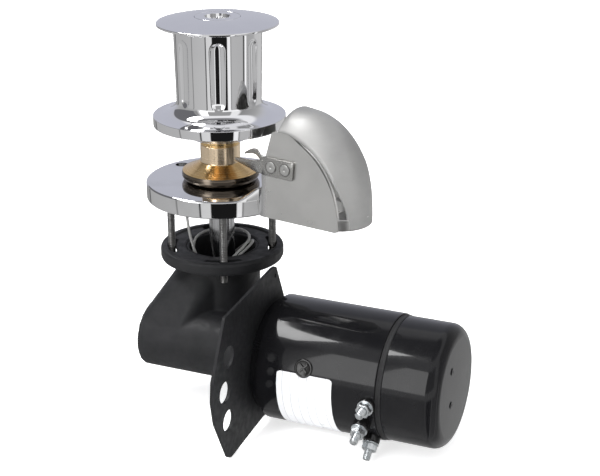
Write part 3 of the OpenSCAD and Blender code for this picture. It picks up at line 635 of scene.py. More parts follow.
CABLE_ROUTE = [(-33, -16, 2.5), (-33, -16, -14), (-31, -17, -30), (-27, -18, -46), (-19, -21, -60),
               (-8, -25, -72), (6, -25, -74), (18, -20, -66), (25, -10, -56), (27, 2, -50),
               (24, 14, -47), (15, 24, -46), (2, 29, -46), (-12, 28, -47), (-24, 20, -48),
               (-30, 8, -49), (-30, -6, -52), (-24, -17, -60), (-13, -23, -70), (0, -26, -78),
               (13, -24, -74), (23, -16, -64), (29, -4, -55), (30, 9, -50), (24, 20, -51),
               (12, 26, -58), (0, 26, -68), (-7, 22.5, -76), (-8, 21, -79.5),
               (-8, 21, -83.97)]


def smooth_route(route, steps=8):
    """Catmull-Rom curve through the route's points."""
    points = [Vector(p) for p in route]
    ends = [points[0] * 2 - points[1]] + points + [points[-1] * 2 - points[-2]]
    out = []
    for i in range(1, len(ends) - 2):
        a, b, c, d = ends[i - 1:i + 3]
        for k in range(steps):
            t = k / steps
            out.append(0.5 * (2 * b + (c - a) * t + (2 * a - 5 * b + 4 * c - d) * t * t
                              + (3 * b - a - 3 * c + d) * t ** 3))
    return out + [points[-1]]


def cable():
    """Sensor lead along its route, as a bevelled curve."""
    line = smooth_route(CABLE_ROUTE)
    curve = bpy.data.curves.new("sensor_cable_sheath", "CURVE")
    curve.dimensions = "3D"
    spline = curve.splines.new("POLY")
    spline.points.add(len(line) - 1)
    for point, p in zip(spline.points, line):
        point.co = (*(p * MM), 1)
    curve.bevel_depth = CABLE_D / 2 * MM
    curve.bevel_resolution = 5
    curve.use_fill_caps = True
    obj = bpy.data.objects.new("sensor_cable_sheath", curve)
    bpy.context.scene.collection.objects.link(obj)
    dress(obj, "frame", "cable_grey", MATERIALS["cable_grey"], "sensor_cable")


cable()

# ---- drum and shaft line -----------------------------------------------------------------

BARREL_R0 = 42.2
BARREL_R1 = 43.5
SKIRT_R = 65.9
SKIRT_Z0 = 75.4
SKIRT_Z1 = 85.1
FLARE_Z = 100.1
FLANGE_R = 60.0
DOME_R0 = 25.0
NUT_R = 22.3
NUT_SEAT = TOP_Z - 5.4
FLUTES = 7
FLUTE_ANGLE = math.radians(-53.5)
FLUTE_R = 11.0
FLUTE_DEPTH = 2.7
FLUTE_Z0 = 106.0
FLUTE_Z1 = 157.0
FLUTE_END = 10.0
FLUTE_LAND = 0.7


def flute_reach(a, z):
    """Distance from the drum's axis to the nearest flute's surface in direction a at height z."""
    past = max(FLUTE_Z0 - z, z - FLUTE_Z1, 0.0)
    if past > FLUTE_END:
        return 1e3
    radius = math.sqrt(FLUTE_R ** 2 - past ** 2)
    step = 2 * math.pi / FLUTES
    off = (a - FLUTE_ANGLE + step / 2) % step - step / 2
    centre = BARREL_R0 + FLUTE_R - FLUTE_DEPTH
    inside = radius ** 2 - (centre * math.sin(off)) ** 2
    if inside <= 0:
        return 1e3
    return centre * math.cos(off) - math.sqrt(inside)


def soft_min(a, b, width):
    """Smaller of two values, rounded over where they meet."""
    h = max(width - abs(a - b), 0.0) / width
    return min(a, b) - h * h * width / 4


def drum():
    """Capstan drum: skirt, flare, fluted barrel, flange and domed top."""
    flare = []
    for i in range(25):
        t = math.radians(90 - 90 * i / 24)
        flare.append((SKIRT_R - (SKIRT_R - BARREL_R0) * math.cos(t),
                      FLARE_Z - (FLARE_Z - SKIRT_Z1) * math.sin(t)))
    barrel = [(BARREL_R0 + (BARREL_R1 - BARREL_R0) * i / 84, FLARE_Z + (DRUM_TOP - 6 - FLARE_Z) * i / 84)
              for i in range(1, 84)]
    under = []
    for i in range(9):
        t = math.radians(90 * i / 8)
        under.append((BARREL_R1 + 4 - 4 * math.cos(t), DRUM_TOP - 6 + 3.5 * math.sin(t)))
    skirt = soften([(60, SKIRT_Z0 + 4), (60, SKIRT_Z0), (SKIRT_R, SKIRT_Z0), (SKIRT_R, SKIRT_Z1),
                    (SKIRT_R - 2, SKIRT_Z1 + 0.1)], 0.6, closed=False)
    dome = []
    for i in range(17):
        t = i / 16
        rise = math.sin(math.pi / 2 * t)
        dome.append((FLANGE_R - (FLANGE_R - DOME_R0) * t, DRUM_TOP + (TOP_Z - DRUM_TOP) * rise))
    top = soften([under[-1], (FLANGE_R, DRUM_TOP - 2.2)] + dome
                 + [(NUT_R + 0.2, TOP_Z), (NUT_R + 0.2, NUT_SEAT - 1.5), (17, NUT_SEAT - 1.5)],
                 0.7, closed=False)
    inner = [(17, 150), (20, 150), (20, 104), (36, 104), (39, 93), (46, 86), (52, 83)]
    outline = skirt[:-1] + flare + barrel + under[:-1] + top + inner
    steps = FLUTES * 84
    rings = []
    for r, h in outline:
        fluted = max(FLUTE_Z0 - FLUTE_END, FLARE_Z - 6) < h < FLUTE_Z1 + FLUTE_END
        if fluted and BARREL_R0 - 0.01 <= r < 50:
            rings.append(circle(lambda a, r=r, h=h: soft_min(r, flute_reach(a, h), FLUTE_LAND), h, steps))
        else:
            rings.append(circle(r, h, steps))
    obj = loft("drum_shell", rings, closed=True, sharp=38)
    dress(obj, "main_shaft", "polished_stainless", MATERIALS["polished_stainless"], "capstan_drum")


def star_reach(a, flat=11.26):
    """Reach of a twelve-point socket: two hexagons turned by 30 degrees."""
    return max(hex_reach(a, flat), hex_reach(a + math.pi / 6, flat))


def nut():
    """Flush disc nut with the clutch handle's socket."""
    steps = 240
    floor = TOP_Z - 12
    rings = [circle(0.01, floor, steps), circle(lambda a: star_reach(a) - 0.02, floor, steps),
             circle(star_reach, TOP_Z - 0.5, steps),
             circle(lambda a: star_reach(a) + 0.35, TOP_Z, steps)]
    for r, h in soften([(NUT_R - 3, TOP_Z), (NUT_R, TOP_Z), (NUT_R, NUT_SEAT),
                        (16.3, NUT_SEAT), (16.3, 147.2), (10.1, 147.2)], 0.5, closed=False):
        rings.append(circle(r, h, steps))
    rings += [circle(10.1, floor - 2, steps), circle(0.01, floor - 2, steps)]
    obj = loft("clutch_nut_disc", rings, sharp=40)
    dress(obj, "clutch_nut", "polished_stainless", MATERIALS["polished_stainless"], "clutch_nut")


def cones():
    """Lower clutch cone with its sleeve, and the upper cone."""
    lower = [(13.06, 17.7), (34, 17.7), (37.2, 19.4), (38.9, 22.4), (39, 25.2), (38.4, 27.7), (33, 29.6),
             (27.4, 32.3), (22.6, 35.2), (20.4, 36.6), (20, 37.4),
             (20, 54.4), (19.4, 54.8), (19.4, 56), (20, 56.4), (20, 61), (13.06, 61)]
    obj = lathe("lower_cone_turned", lower, radius=0.5)
    dress(obj, "main_shaft", "bronze", MATERIALS["bronze"], "lower_clutch_cone")
    upper = [(20.05, 61.2), (28, 61.2), (29.5, 62), (59.5, SKIRT_Z0 + 0.5), (59.5, 79.5), (40, 76),
             (20.05, 76)]
    obj = lathe("upper_cone_turned", upper, radius=0.8)
    dress(obj, "main_shaft", "polished_stainless", MATERIALS["polished_stainless"], "upper_clutch_cone")


drum()
nut()
cones()

# ---- deck base ---------------------------------------------------------------------------


TONGUE_W = 29.5
FLOOR_T = 12.0
NOSE_X = 144.0
NOSE_R = 30.5
HOOD_T = 4.0
CROWN_X, CROWN_A, CROWN_B = 92.0, 82.3, 107.0
RIM_X, RIM_A, RIM_B = 100.0, 66.0, 74.0
MOUTH_X = 90.0
MOUTH_SHARE = 0.12
CHEEK_X, CHEEK_A, CHEEK_B = 84.0, 74.0, 85.5
SHOULDER_RISE = 11.0


def ease(t):
    """Smooth step from 0 to 1."""
    t = min(max(t, 0.0), 1.0)
    return t * t * (3 - 2 * t)


def cut_away(obj, cutters, sharp=32.0):
    """Takes the cutters' volume out of a piece and removes the cutters."""
    for cutter in cutters:
        step = obj.modifiers.new("cut", "BOOLEAN")
        step.operation = "DIFFERENCE"
        step.solver = "EXACT"
        step.object = cutter
    bpy.context.view_layer.update()
    ready = obj.evaluated_get(bpy.context.evaluated_depsgraph_get())
    mesh = bpy.data.meshes.new_from_object(ready)
    obj.modifiers.clear()
    obj.data = mesh
    mesh.polygons.foreach_set("use_smooth", [True] * len(mesh.polygons))
    mesh.set_sharp_from_angle(angle=math.radians(sharp))
    for cutter in cutters:
        bpy.data.objects.remove(cutter)
    return obj


def slab(name, outline, levels, place=DECK, sharp=32.0):
    """Flat piece from a plan outline; levels are (height, inset) pairs from one face to the other."""
    rings = []
    count = len(outline)
    for h, inset in levels:
        ring = []
        for i, q in enumerate(outline):
            back = Vector(outline[i - 1]) - Vector(q)
            ahead = Vector(outline[(i + 1) % count]) - Vector(q)
            side = (ahead.normalized() - back.normalized())
            normal = Vector((-side.y, side.x)).normalized()
            ring.append((q[0] + normal.x * inset, q[1] + normal.y * inset, h))
        rings.append(ring)
    return loft(name, rings, place, sharp=sharp)


def dense(outline, step=2.0):
    """Closed outline with points at least every step along its straight parts."""
    out = []
    for i, q in enumerate(outline):
        ahead = outline[(i + 1) % len(outline)]
        reach = math.dist(q, ahead)
        for k in range(max(1, int(reach / step))):
            t = k / max(1, int(reach / step))
            out.append((q[0] + (ahead[0] - q[0]) * t, q[1] + (ahead[1] - q[1]) * t))
    return out


def super_z(x, x0, z0, a, b, p):
    """Height of a super-ellipse's upper right quarter at x."""
    return z0 + b * max(1 - (max(x - x0, 0.0) / a) ** p, 0.0) ** (1 / p)


def crown(u, t):
    """Roof's middle line in side view: u from the mouth to the foot, t into the wall."""
    if u < MOUTH_SHARE:
        x = MOUTH_X + (CROWN_X + 7 - MOUTH_X) * u / MOUTH_SHARE
        return x, CROWN_B - t - 9 * ((CROWN_X + 7 - x) / 12) ** 2
    q = math.radians(12 + 78 * (u - MOUTH_SHARE) / (1 - MOUTH_SHARE))
    return (CROWN_X + (CROWN_A - t) * math.sin(q) ** (2 / 2.5),
            max((CROWN_B - t) * max(math.cos(q), 0) ** (2 / 2.5), FLOOR_T - 4))


def rim(u, t):
    """Roof's side edge in side view, with crown's arguments."""
    if u < MOUTH_SHARE:
        return MOUTH_X + (RIM_X - MOUTH_X) * u / MOUTH_SHARE, FLOOR_T + RIM_B - t
    part = (u - MOUTH_SHARE) / (1 - MOUTH_SHARE)
    q = math.radians(90 * part)
    return (RIM_X + (RIM_A - t) * math.sin(q) ** (2 / 1.72),
            FLOOR_T + (RIM_B - t) * max(math.cos(q), 0) ** (2 / 1.72) - 4 * part * part)


def roof_point(u, v, t):
    """Point of the roof: v runs from one side edge to the other."""
    (cx, cz), (rx, rz) = crown(u, t), rim(u, t)
    k = abs(v) ** 2.2
    reach = TONGUE_W - t
    if rx >= NOSE_X:
        reach = min(reach, math.sqrt(max((NOSE_R - t) ** 2 - (rx - NOSE_X) ** 2, 0.0)))
    return cx + (rx - cx) * k, reach * v, cz + (rz - cz) * k


def hood():
    """Roof of the chain hood: a shell with rounded lips at its mouth and along both rims."""
    across = [math.sin(math.pi / 2 * (2 * j / 80 - 1)) * 0.35 + (2 * j / 80 - 1) * 0.65 for j in range(81)]
    lips = [(0.15, 0.050), (0.5, 0.028), (1.1, 0.010), (2.0, 0.0), (2.9, 0.010), (3.5, 0.028),
            (3.85, 0.050)]
    rings = []

    def section(u, outer, inner, drop=0.0):
        ring = [roof_point(u, v * 0.935, outer) for v in across]
        ring += [roof_point(u, 1 - pull, outer + (inner - outer) * t / HOOD_T) for t, pull in lips]
        ring += [roof_point(u, -v * 0.935, inner) for v in across]
        ring += [roof_point(u, -1 + pull, inner + (outer - inner) * t / HOOD_T) for t, pull in lips]
        return [(x, y, z - drop) for x, y, z in ring]

    for shrink in (1.3, 0.6, 0.2):
        rings.append(section(0.004 * (1.3 - shrink), shrink, HOOD_T - shrink))
    for i in range(1, 97):
        rings.append(section(i / 96, 0, HOOD_T))
    for drop in (2.0, 4.5, 6.4, 7.2):
        rings.append(section(1.0, 0 if drop < 7 else 0.7, HOOD_T, drop))
    obj = loft("hood_roof", rings[::-1], sharp=48)
    dress(obj, "frame", "brushed_stainless", HOOD_STEEL, "chain_hood")


def cheeks():
    """Side walls under the hood, with leaning front edges and arched tops."""
    arch = []
    for i in range(2, 61):
        x = CHEEK_X + CHEEK_A * math.sin(math.radians(90 * i / 60))
        k = ease((x - 98) / 20)
        arch.append((x, super_z(x, CHEEK_X, 0, CHEEK_A, CHEEK_B, 2.05) * k
                     + (super_z(x, RIM_X, FLOOR_T, RIM_A, RIM_B, 1.72) + 0.4) * (1 - k)))
    front = soften([(95, 0.8), (68.5, 0.8), (73.5, 30), (73, 41), (78.6, 63), (85.4, 86.1), (96, 86.2)],
                   3.0, closed=False, steps=6)
    outline = dense(front[1:-1] + arch + [(CHEEK_X + CHEEK_A, 0.8)], 3.0)
    levels = [(0, 1.3), (0.4, 0.5), (1.2, 0), (HOOD_T - 1.2, 0), (HOOD_T - 0.4, 0.5), (HOOD_T, 1.3)]
    for side, name in ((-1, "near"), (1, "far")):
        place = Matrix.Translation(Vector((0, side * TONGUE_W - (HOOD_T if side > 0 else -HOOD_T), 0)) * MM)
        turn = Matrix(((1, 0, 0, 0), (0, 0, side, 0), (0, 1, 0, 0), (0, 0, 0, 1)))
        obj = slab(f"cheek_{name}", outline, levels, place @ turn, sharp=40)
        if side > 0:
            obj.data.flip_normals()
        dress(obj, "frame", "brushed_stainless", BASE_STEEL)


def shoulders():
    """Edge of the disc that lifts up to the foot of each cheek."""
    for side, name in ((-1, "near"), (1, "far")):
        rings = []
        count = 40
        for i in range(count + 1):
            q = i / count
            a = math.radians(-43 + 24.5 * q) * -side
            top = BASE_TOP + SHOULDER_RISE * ease(q * 1.04)
            shape = [(66.5, 9), (74.9, 9), (74.9, top - 1.6), (74.7, top - 0.9), (74.2, top - 0.3),
                     (73.4, top), (66.5, top - 0.6 - 3 * q)]
            if side > 0:
                shape = shape[::-1]
            rings.append([(r * math.cos(a), r * math.sin(a), h) for r, h in shape])
        obj = loft(f"shoulder_{name}", rings, sharp=50)
        dress(obj, "frame", "brushed_stainless", BASE_STEEL)


def base():
    """Disc with its pin hole, and tongue with the hawse opening."""
    outline = [(17, 0), (BASE_R - 1, 0), (BASE_R, 1.0), (BASE_R, BASE_TOP - 1.3), (BASE_R - 1.3, BASE_TOP),
               (24, BASE_TOP), (24, BASE_TOP - 4), (17, BASE_TOP - 4)]
    disc = lathe("base_disc", outline, steps=288, radius=0.9)
    hole = lathe("pin_hole", [(0, -1), (6.5, -1), (6.5, 19), (0, 19)],
                 Matrix.Translation(Vector((-60.8, 13.4, 0)) * MM), steps=72, radius=0, closed=False)
    cut_away(disc, [hole])
    dress(disc, "frame", "brushed_stainless", BASE_STEEL, "base_casting")
    nose = [(NOSE_X + (NOSE_R - 0.3) * math.cos(t), (NOSE_R - 0.3) * math.sin(t)) for t in
            [math.radians(-75 + 150 * i / 60) for i in range(61)]]
    plan = dense([(60, -29.3), (136, -29.4)] + nose + [(136, 29.4), (60, 29.3)], 4.0)
    levels = [(0.4, 0.9), (0.7, 0.3), (1.5, 0), (FLOOR_T - 0.7, 0), (FLOOR_T, 0.7)]
    tongue = slab("base_tongue", plan, levels)
    hawse = [(130 + 19 * math.cos(t), 19 * math.sin(t)) for t in
             [math.radians(-90 + 180 * i / 40) for i in range(41)]]
    hawse += [(108 + 19 * math.cos(t), 19 * math.sin(t)) for t in
              [math.radians(90 + 180 * i / 40) for i in range(41)]]
    cut_away(tongue, [slab("hawse_cut", hawse, [(-2, 0), (20, 0)])])
    dress(tongue, "frame", "brushed_stainless", BASE_STEEL)


def stripper():
    """Plate with two countersinks for its screws, a tapering finger and a curled leaf above it."""
    face = -TONGUE_W - 3.0
    outline = dense(soften([(73.5, 43.2), (109.4, 42.6), (110.9, 61.2), (75.5, 62)], 2.4, steps=6), 2.0)
    place = Matrix.Translation(Vector((0, face, 0)) * MM) @ Matrix(
        ((1, 0, 0, 0), (0, 0, 1, 0), (0, 1, 0, 0), (0, 0, 0, 1)))
    plate = slab("stripper_plate", outline, [(0, 0.5), (0.2, 0.15), (0.5, 0), (2.95, 0)], place, sharp=40)
    plate.data.flip_normals()
    sinks = []
    for x in STRIPPER_X:
        at = Matrix.Translation(Vector((x, face - 0.5, STRIPPER_Z)) * MM)
        at = at @ Matrix.Rotation(math.radians(-90), 4, "X")
        sinks.append(lathe("sink", [(0, 0), (6.15, 0), (6.05, 1.6), (0, 1.6)], at, steps=72, radius=0,
                           closed=False))
    cut_away(plate, sinks)
    dress(plate, "frame", "brushed_stainless", STRIPPER_STEEL, "chain_stripper")
    finger = [(76, -31.1, 50.8, 14.0, 2.6), (68, -31.0, 50.6, 12.6, 2.6), (60, -28.6, 49.9, 9.6, 2.6),
              (52, -25.2, 49.3, 7.6, 2.6), (42, -20.6, 48.5, 5.8, 2.6), (31.6, -16.4, 47.9, 3.6, 2.2)]
    leaf = [(77, -31.1, 59.0, 5.0, 2.4), (71, -29.6, 60.2, 5.6, 2.4), (64, -26.0, 62.8, 6.2, 2.2),
            (56, -23.0, 61.8, 4.6, 2.0), (45, -19.4, 57.0, 2.0, 1.6)]
    for name, spine in (("stripper_finger", finger), ("stripper_leaf", leaf)):
        rings = []
        for x, y, z, tall, thick in smooth_values(spine, 8):
            ring = []
            for j in range(24):
                a = 2 * math.pi * j / 24
                across, along = soft_sign(math.cos(a)), soft_sign(math.sin(a))
                ring.append((x, y + thick / 2 * across, z + tall / 2 * along))
            rings.append(ring)
        obj = loft(name, rings, sharp=60)
        dress(obj, "frame", "brushed_stainless", STRIPPER_STEEL)


def soft_sign(t):
    """Rounded square profile."""
    return math.copysign(abs(t) ** 0.45, t)


def smooth_values(rows, steps):
    """Catmull-Rom curve through rows of numbers."""
    ends = [rows[0]] + list(rows) + [rows[-1]]
    out = []
    for i in range(1, len(ends) - 2):
        for k in range(steps):
            t = k / steps
            out.append(tuple(0.5 * (2 * b + (c - a) * t + (2 * a - 5 * b + 4 * c - d) * t * t
                                    + (3 * b - a - 3 * c + d) * t ** 3)
                             for a, b, c, d in zip(*ends[i - 1:i + 3])))
    return out + [tuple(rows[-1])]


STRIPPER_X = (85.0, 101.0)
STRIPPER_Z = 52.5


def studs():
    """Four threaded studs."""
    material = MATERIALS["stud_steel"]
    parts = []
    for i in range(4):
        a = math.radians(STUD_ANGLE + 90 * i)
        place = Matrix.Translation(Vector((STUD_PITCH_R * math.cos(a), STUD_PITCH_R * math.sin(a), 0)) * MM)
        parts.append(threaded_bar(f"stud_{i}", STUD_R, STUD_BOTTOM, 9.8, 1.75, place))
    for i, part in enumerate(parts):
        nodes = ["deck_studs"] if i == 0 else []
        dress(part, "frame", "stud_steel", material, *nodes)


def stripper_screws():
    """Flat countersunk heads with a small centre dimple."""
    for i, x in enumerate(STRIPPER_X):
        head = [(0, 0.0), (0.8, 0.0), (1.4, 0.75), (4.9, 0.85), (5.4, 0.5), (5.4, -1.0), (2.5, -1.2),
                (2.5, -9.0), (0, -9.0)]
        place = Matrix.Translation(Vector((x, -TONGUE_W - 3.0, STRIPPER_Z)) * MM)
        place = place @ Matrix.Rotation(math.radians(90), 4, "X")
        obj = lathe(f"stripper_screw_{i}", head[::-1], place, steps=64, radius=0.3, closed=False)
        nodes = ["stripper_screws"] if i == 0 else []
        dress(obj, "frame", "brushed_stainless", MATERIALS["brushed_stainless"], *nodes)


base()
stripper()
cheeks()
shoulders()
hood()
studs()
stripper_screws()

# ---- under the deck ----------------------------------------------------------------------


def castings():
    """Softened edges on the castings under the deck."""
    bevel(NODES["clamp_ring"], 0.8, 35)
    bevel(NODES["mounting_plate"], 0.4, 35)
    housing = NODES["gearbox_housing"]
    blend = housing.modifiers.new("blend", "REMESH")
    blend.mode = "VOXEL"
    blend.voxel_size = 1.3 * MM
    blend.use_smooth_shade = True
    soft = housing.modifiers.new("soft", "SMOOTH")
    soft.factor = 0.5
    soft.iterations = 8


castings()

# ---- motor -------------------------------------------------------------------------------


def motor_shell():
    """Tube, front rim, seal band and end cap."""
    paint = MATERIALS["black_paint"]
    yoke = [(YOKE_BORE, YOKE_START), (YOKE_R, YOKE_START), (YOKE_R, YOKE_END), (YOKE_BORE, YOKE_END)]
    obj = lathe("motor_tube", yoke, MOTOR, "X", 220, 0.7)
    dress(obj, "frame", "black_paint", paint, "motor_yoke")
    bell = [(20, 75.9), (56, 75.9), (56, 85), (20, 85)]
    obj = lathe("front_bell_rim", bell, MOTOR, "X", 160, 0.8)
    dress(obj, "frame", "black_paint", paint)
    band = [(YOKE_BORE, YOKE_END), (61.2, YOKE_END), (61.6, 208.2), (60.9, 209.6), (61.6, 211),
            (61.2, CAP_START), (YOKE_BORE, CAP_START)]
    obj = lathe("seal_band_ring", band, MOTOR, "X", 200, 0.4)
    dress(obj, "frame", "seal_rubber", MATERIALS["seal_rubber"], "seal_band")
    corner = arc(CAP_END - 13, CAP_R - 13, 13, 90, 0, 22)
    cap = [(YOKE_BORE, CAP_START), (CAP_R - 0.4, CAP_START), (CAP_R, CAP_START + 0.6)]
    cap += [(r, h) for h, r in corner] + [(0, CAP_END)]
    inside = [(0, CAP_END - 3.5), (44, CAP_END - 3.5), (53, CAP_END - 10), (YOKE_BORE, CAP_END - 20)]
    obj = lathe("end_cap_shell", inside + cap, MOTOR, "X", 220, 0.3, closed=False)
    dress(obj, "frame", "black_paint", paint, "motor_end_cap")


def label():
    """Thin printed film that follows the motor's tube."""
    s0, s1, a0, a1, lift, thick = 107.0, 164.0, -72.0, 14.0, 0.08, 0.25
    rows, cols = 12, 60
    corner = 3.0
    points, faces = [], []
    for level in (YOKE_R + lift, YOKE_R + lift + thick):
        for i in range(rows + 1):
            for j in range(cols + 1):
                u, v = i / rows, j / cols
                a = math.radians(a0 + (a1 - a0) * v)
                edge = min(v, 1 - v) * math.radians(a1 - a0) * YOKE_R
                pull = corner - math.sqrt(max(corner ** 2 - max(corner - edge, 0) ** 2, 0))
                s = s0 + pull + (s1 - s0 - 2 * pull) * u
                points.append((s, -level * math.cos(a), level * math.sin(a)))
    size = (rows + 1) * (cols + 1)
    row = cols + 1
    for i in range(rows):
        for j in range(cols):
            q = [i * row + j, i * row + j + 1, (i + 1) * row + j + 1, (i + 1) * row + j]
            faces.append(tuple(q[::-1]))
            faces.append(tuple(size + k for k in q))
    rim = [j for j in range(cols)] + [i * row + cols for i in range(rows)]
    rim += [rows * row + j for j in range(cols, 0, -1)] + [i * row for i in range(rows, 0, -1)]
    for k, here in enumerate(rim):
        there = rim[(k + 1) % len(rim)]
        faces.append((here, there, size + there, size + here))
    obj = finish_mesh("rating_film", points, faces, MOTOR)
    dress(obj, "frame", "label_white", MATERIALS["label_white"], "rating_label")


PLUG_S = 134.0
PLUG_ANGLE = 19.5
TERMINALS = [(200.5, -3.0, 6.5), (195.0, -22.0, 12.0), (200.0, -45.0, 9.0)]


def plug():
    """Round plug with a crossed grip."""
    place = outward(MOTOR, PLUG_S, PLUG_ANGLE)
    head = [(0, 63.0), (2.0, 63.0), (6.9, 63.4), (7.4, 64.2), (8.6, 64.1), (9.2, 63.2), (9.2, 61.4),
            (0, 61.4)]
    disc = lathe("inspection_plug_head", head[::-1], place, steps=72, radius=0.5, closed=False)
    dress(disc, "frame", "black_plastic", MATERIALS["black_plastic"], "inspection_plug")
    corners = ((-1, -0.6), (-0.93, -1), (0.93, -1), (1, -0.6), (1, 0.6), (0.93, 1), (-0.93, 1), (-1, 0.6))
    for i, turn in enumerate((45, 135)):
        bar = []
        for h, grow in ((62.8, 0), (64.1, 0), (64.5, -0.4)):
            bar.append([(x * (5.6 + grow), y * (1.0 + grow), h) for x, y in corners])
        rib = loft(f"inspection_plug_rib_{i}", bar, place @ Matrix.Rotation(math.radians(turn), 4, "Z"))
        dress(rib, "frame", "black_plastic", MATERIALS["black_plastic"])


def terminals():
    """Stud, insulator, washer and nut of each terminal."""
    metal, plastic = MATERIALS["zinc"], MATERIALS["black_plastic"]
    for i, (s, angle, rise) in enumerate(TERMINALS):
        place = outward(MOTOR, s, angle)
        first = i == 0
        seat = 60.6 + rise
        stud = threaded_bar(f"terminal_stud_{i}", 4, 57, 78 + rise, 1.25, place)
        dress(stud, "frame", "zinc", metal, *(["terminal_studs"] if first else []))
        base_ring = [(4.05, 61.8), (8, 61.8), (8, seat - 1.2), (7.2, seat), (4.05, seat)]
        insulator = lathe(f"terminal_insulator_{i}", base_ring, place, steps=64, radius=0.7)
        dress(insulator, "frame", "black_plastic", plastic, *(["terminal_insulators"] if first else []))
        flat = [(4.05, seat + 0.1), (8, seat + 0.1), (8, seat + 1.5), (4.05, seat + 1.5)]
        washer = lathe(f"terminal_washer_{i}", flat, place, steps=64, radius=0.35)
        dress(washer, "frame", "zinc", metal, *(["terminal_washers"] if first else []))
        lift = Matrix.Translation((0, 0, (seat + 1.55) * MM)) @ Matrix.Rotation(math.radians(14 * i), 4, "Z")
        grip = hex_nut(f"terminal_nut_{i}", 6.5, 6.4, 4.05, place @ lift)
        dress(grip, "frame", "zinc", metal, *(["terminal_nuts"] if first else []))


motor_shell()
label()
plug()
terminals()

# ---- studio ------------------------------------------------------------------------------

FLOOR_Z = CAD_BOX[0][2] - 0.0005
FLOOR_REACH = 14.0


def floor():
    """Plain pale floor."""
    mesh = bpy.data.meshes.new("floor")
    steps = 96
    ring = [(FLOOR_REACH * math.cos(2 * math.pi * i / steps), FLOOR_REACH * math.sin(2 * math.pi * i / steps),
             FLOOR_Z) for i in range(steps)]
    mesh.from_pydata(ring, [], [tuple(range(steps))])
    obj = bpy.data.objects.new("floor", mesh)
    bpy.context.scene.collection.objects.link(obj)
    material = bpy.data.materials.new("floor")
    material.use_nodes = True
    shader = material.node_tree.nodes["Principled BSDF"]
    shader.inputs["Base Color"].default_value = (0.9, 0.9, 0.9, 1)
    shader.inputs["Roughness"].default_value = 0.9
    shader.inputs["Specular IOR Level"].default_value = 0.0
    shader.inputs["Emission Color"].default_value = (1, 1, 1, 1)
    shader.inputs["Emission Strength"].default_value = 0.7
    mesh.materials.append(material)
    obj.visible_glossy = False


# Bands of the studio by the angle from the camera's side, in degrees, and their brightness:
# low ones are the table's surroundings, high ones the soft boxes and the dark room between them
LOW_BANDS = [(-180, 0.34), (-144, 0.34), (-143, 0.08), (-140, 0.08), (-139, 0.45), (-74, 0.50),
             (-73, 0.25), (-71.5, 0.25), (-71, 0.52), (-35, 0.56), (-34, 0.06), (-32, 0.06), (-31, 0.74),
             (-16.5, 0.78), (-15.5, 0.012), (23, 0.012), (24, 1.0), (31, 1.0), (32.5, 0.12), (34.5, 0.52),
             (67, 0.50), (68, 0.08), (72, 0.08), (73, 1.1), (78, 1.1), (79, 0.42), (104, 0.45),
             (112, 0.6), (148, 0.6), (158, 0.34), (180, 0.34)]
MID_BANDS = [(-180, 0.45), (-110, 0.40), (-62, 0.45), (-52, 1.1), (52, 1.1), (62, 0.45), (110, 0.40),
             (180, 0.45)]
HIGH_BANDS = [(-180, 0.55), (-150, 0.55), (-110, 0.40), (-62, 0.30), (-54, 0.95), (-34, 0.95), (-30, 0.36),
              (30, 0.36), (34, 0.95), (54, 0.95), (62, 0.30), (110, 0.40), (150, 0.55), (180, 0.55)]
# Strip lights: angle range, height range and brightness
SOFT_BOXES = [(-53, -32, 2, 44, 4.0), (-135, -68, 50, 64, 16.0)]


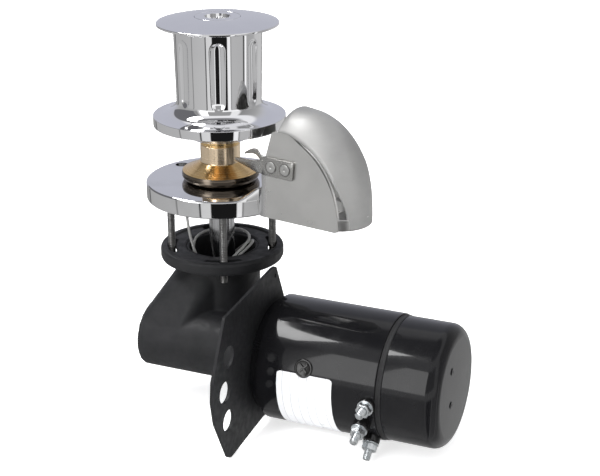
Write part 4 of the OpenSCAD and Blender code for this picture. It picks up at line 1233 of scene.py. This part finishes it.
def studio():
    """World light: bands by direction for what the surfaces reflect, plain white behind."""
    world = bpy.data.worlds.new("studio")
    bpy.context.scene.world = world
    world.use_nodes = True
    tree = world.node_tree
    tree.nodes.clear()

    def add(kind, **values):
        node = tree.nodes.new(kind)
        for key, value in values.items():
            setattr(node, key, value)
        return node

    def math_node(operation, a, b=None, clamp=False):
        node = add("ShaderNodeMath", operation=operation, use_clamp=clamp)
        for i, value in enumerate((a, b)):
            if value is None:
                continue
            if isinstance(value, (int, float)):
                node.inputs[i].default_value = value
            else:
                tree.links.new(value, node.inputs[i])
        return node.outputs[0]

    direction = add("ShaderNodeTexCoord").outputs["Generated"]
    turn = add("ShaderNodeVectorRotate", rotation_type="Z_AXIS")
    turn.inputs["Angle"].default_value = -FRONT_AZIMUTH
    tree.links.new(direction, turn.inputs["Vector"])
    split = add("ShaderNodeSeparateXYZ")
    tree.links.new(turn.outputs[0], split.inputs[0])
    angle = math_node("MULTIPLY", math_node("ARCTAN2", split.outputs["Y"], split.outputs["X"]), 180 / math.pi)
    rise = math_node("MULTIPLY", math_node("ARCSINE", split.outputs["Z"]), 180 / math.pi)
    share = math_node("ADD", math_node("DIVIDE", angle, 360), 0.5)

    def bands(stops):
        ramp = add("ShaderNodeValToRGB")
        ramp.color_ramp.interpolation = "LINEAR"
        elements = ramp.color_ramp.elements
        for _ in range(len(stops) - 2):
            elements.new(0.5)
        for element, (degrees, value) in zip(elements, stops):
            element.position = degrees / 360 + 0.5
            element.color = (value, value, value, 1)
        tree.links.new(share, ramp.inputs["Fac"])
        return ramp.outputs["Color"]

    def step(value, start, end):
        node = add("ShaderNodeMapRange", interpolation_type="SMOOTHSTEP")
        node.inputs["From Min"].default_value = start
        node.inputs["From Max"].default_value = end
        tree.links.new(value, node.inputs["Value"])
        return node.outputs["Result"]

    def mix(factor, a, b):
        node = add("ShaderNodeMix", data_type="RGBA")
        tree.links.new(factor, node.inputs["Factor"])
        for name, value in (("A", a), ("B", b)):
            if isinstance(value, tuple):
                node.inputs[name].default_value = (*value, 1)
            else:
                tree.links.new(value, node.inputs[name])
        return node.outputs["Result"]

    low_part = bands(LOW_BANDS)
    high_part = mix(step(rise, 6, 10), bands(MID_BANDS), bands(HIGH_BANDS))
    back = step(math_node("ABSOLUTE", angle), 120, 165)
    cool = mix(back, high_part, (0.53, 0.54, 0.61))
    color = mix(step(rise, -9, -4), low_part, cool)
    color = mix(step(rise, 42, 50), color, (0.95, 0.95, 0.97))
    color = mix(step(rise, 60, 70), color, (0.22, 0.22, 0.23))
    dim = math_node("MULTIPLY", step(rise, 8, 12), step(angle, -70, -74))
    dim = math_node("MULTIPLY", dim, step(angle, -150, -146))
    color = mix(dim, color, (0.16, 0.16, 0.17))
    for start, end, bottom, top, power in SOFT_BOXES:
        inside = math_node("MULTIPLY", step(angle, start, start + 1.5), step(angle, end, end - 1.5))
        inside = math_node("MULTIPLY", inside, step(rise, bottom, bottom + 1.5))
        inside = math_node("MULTIPLY", inside, step(rise, top, top - 1.5))
        color = mix(inside, color, (power,) * 3)
    seen = add("ShaderNodeLightPath").outputs["Is Camera Ray"]
    color = mix(seen, color, (1.0, 1.0, 1.0))
    shade = add("ShaderNodeBackground")
    tree.links.new(color, shade.inputs["Color"])
    out = add("ShaderNodeOutputWorld")
    tree.links.new(shade.outputs[0], out.inputs["Surface"])


def key_light():
    """Soft light from the front left, not seen in reflections."""
    data = bpy.data.lights.new("key", "AREA")
    data.energy = 14
    data.size = 1.2
    lamp = bpy.data.objects.new("key", data)
    lamp.location = (0.2, -1.3, 1.7)
    aim = Vector((0.05, 0, -0.05)) - lamp.location
    lamp.rotation_euler = aim.to_track_quat("-Z", "Y").to_euler()
    lamp.visible_glossy = False
    lamp.visible_camera = False
    bpy.context.scene.collection.objects.link(lamp)


floor()
studio()
key_light()
bpy.context.scene.view_settings.view_transform = "Standard"
bpy.context.scene.view_settings.look = "None"
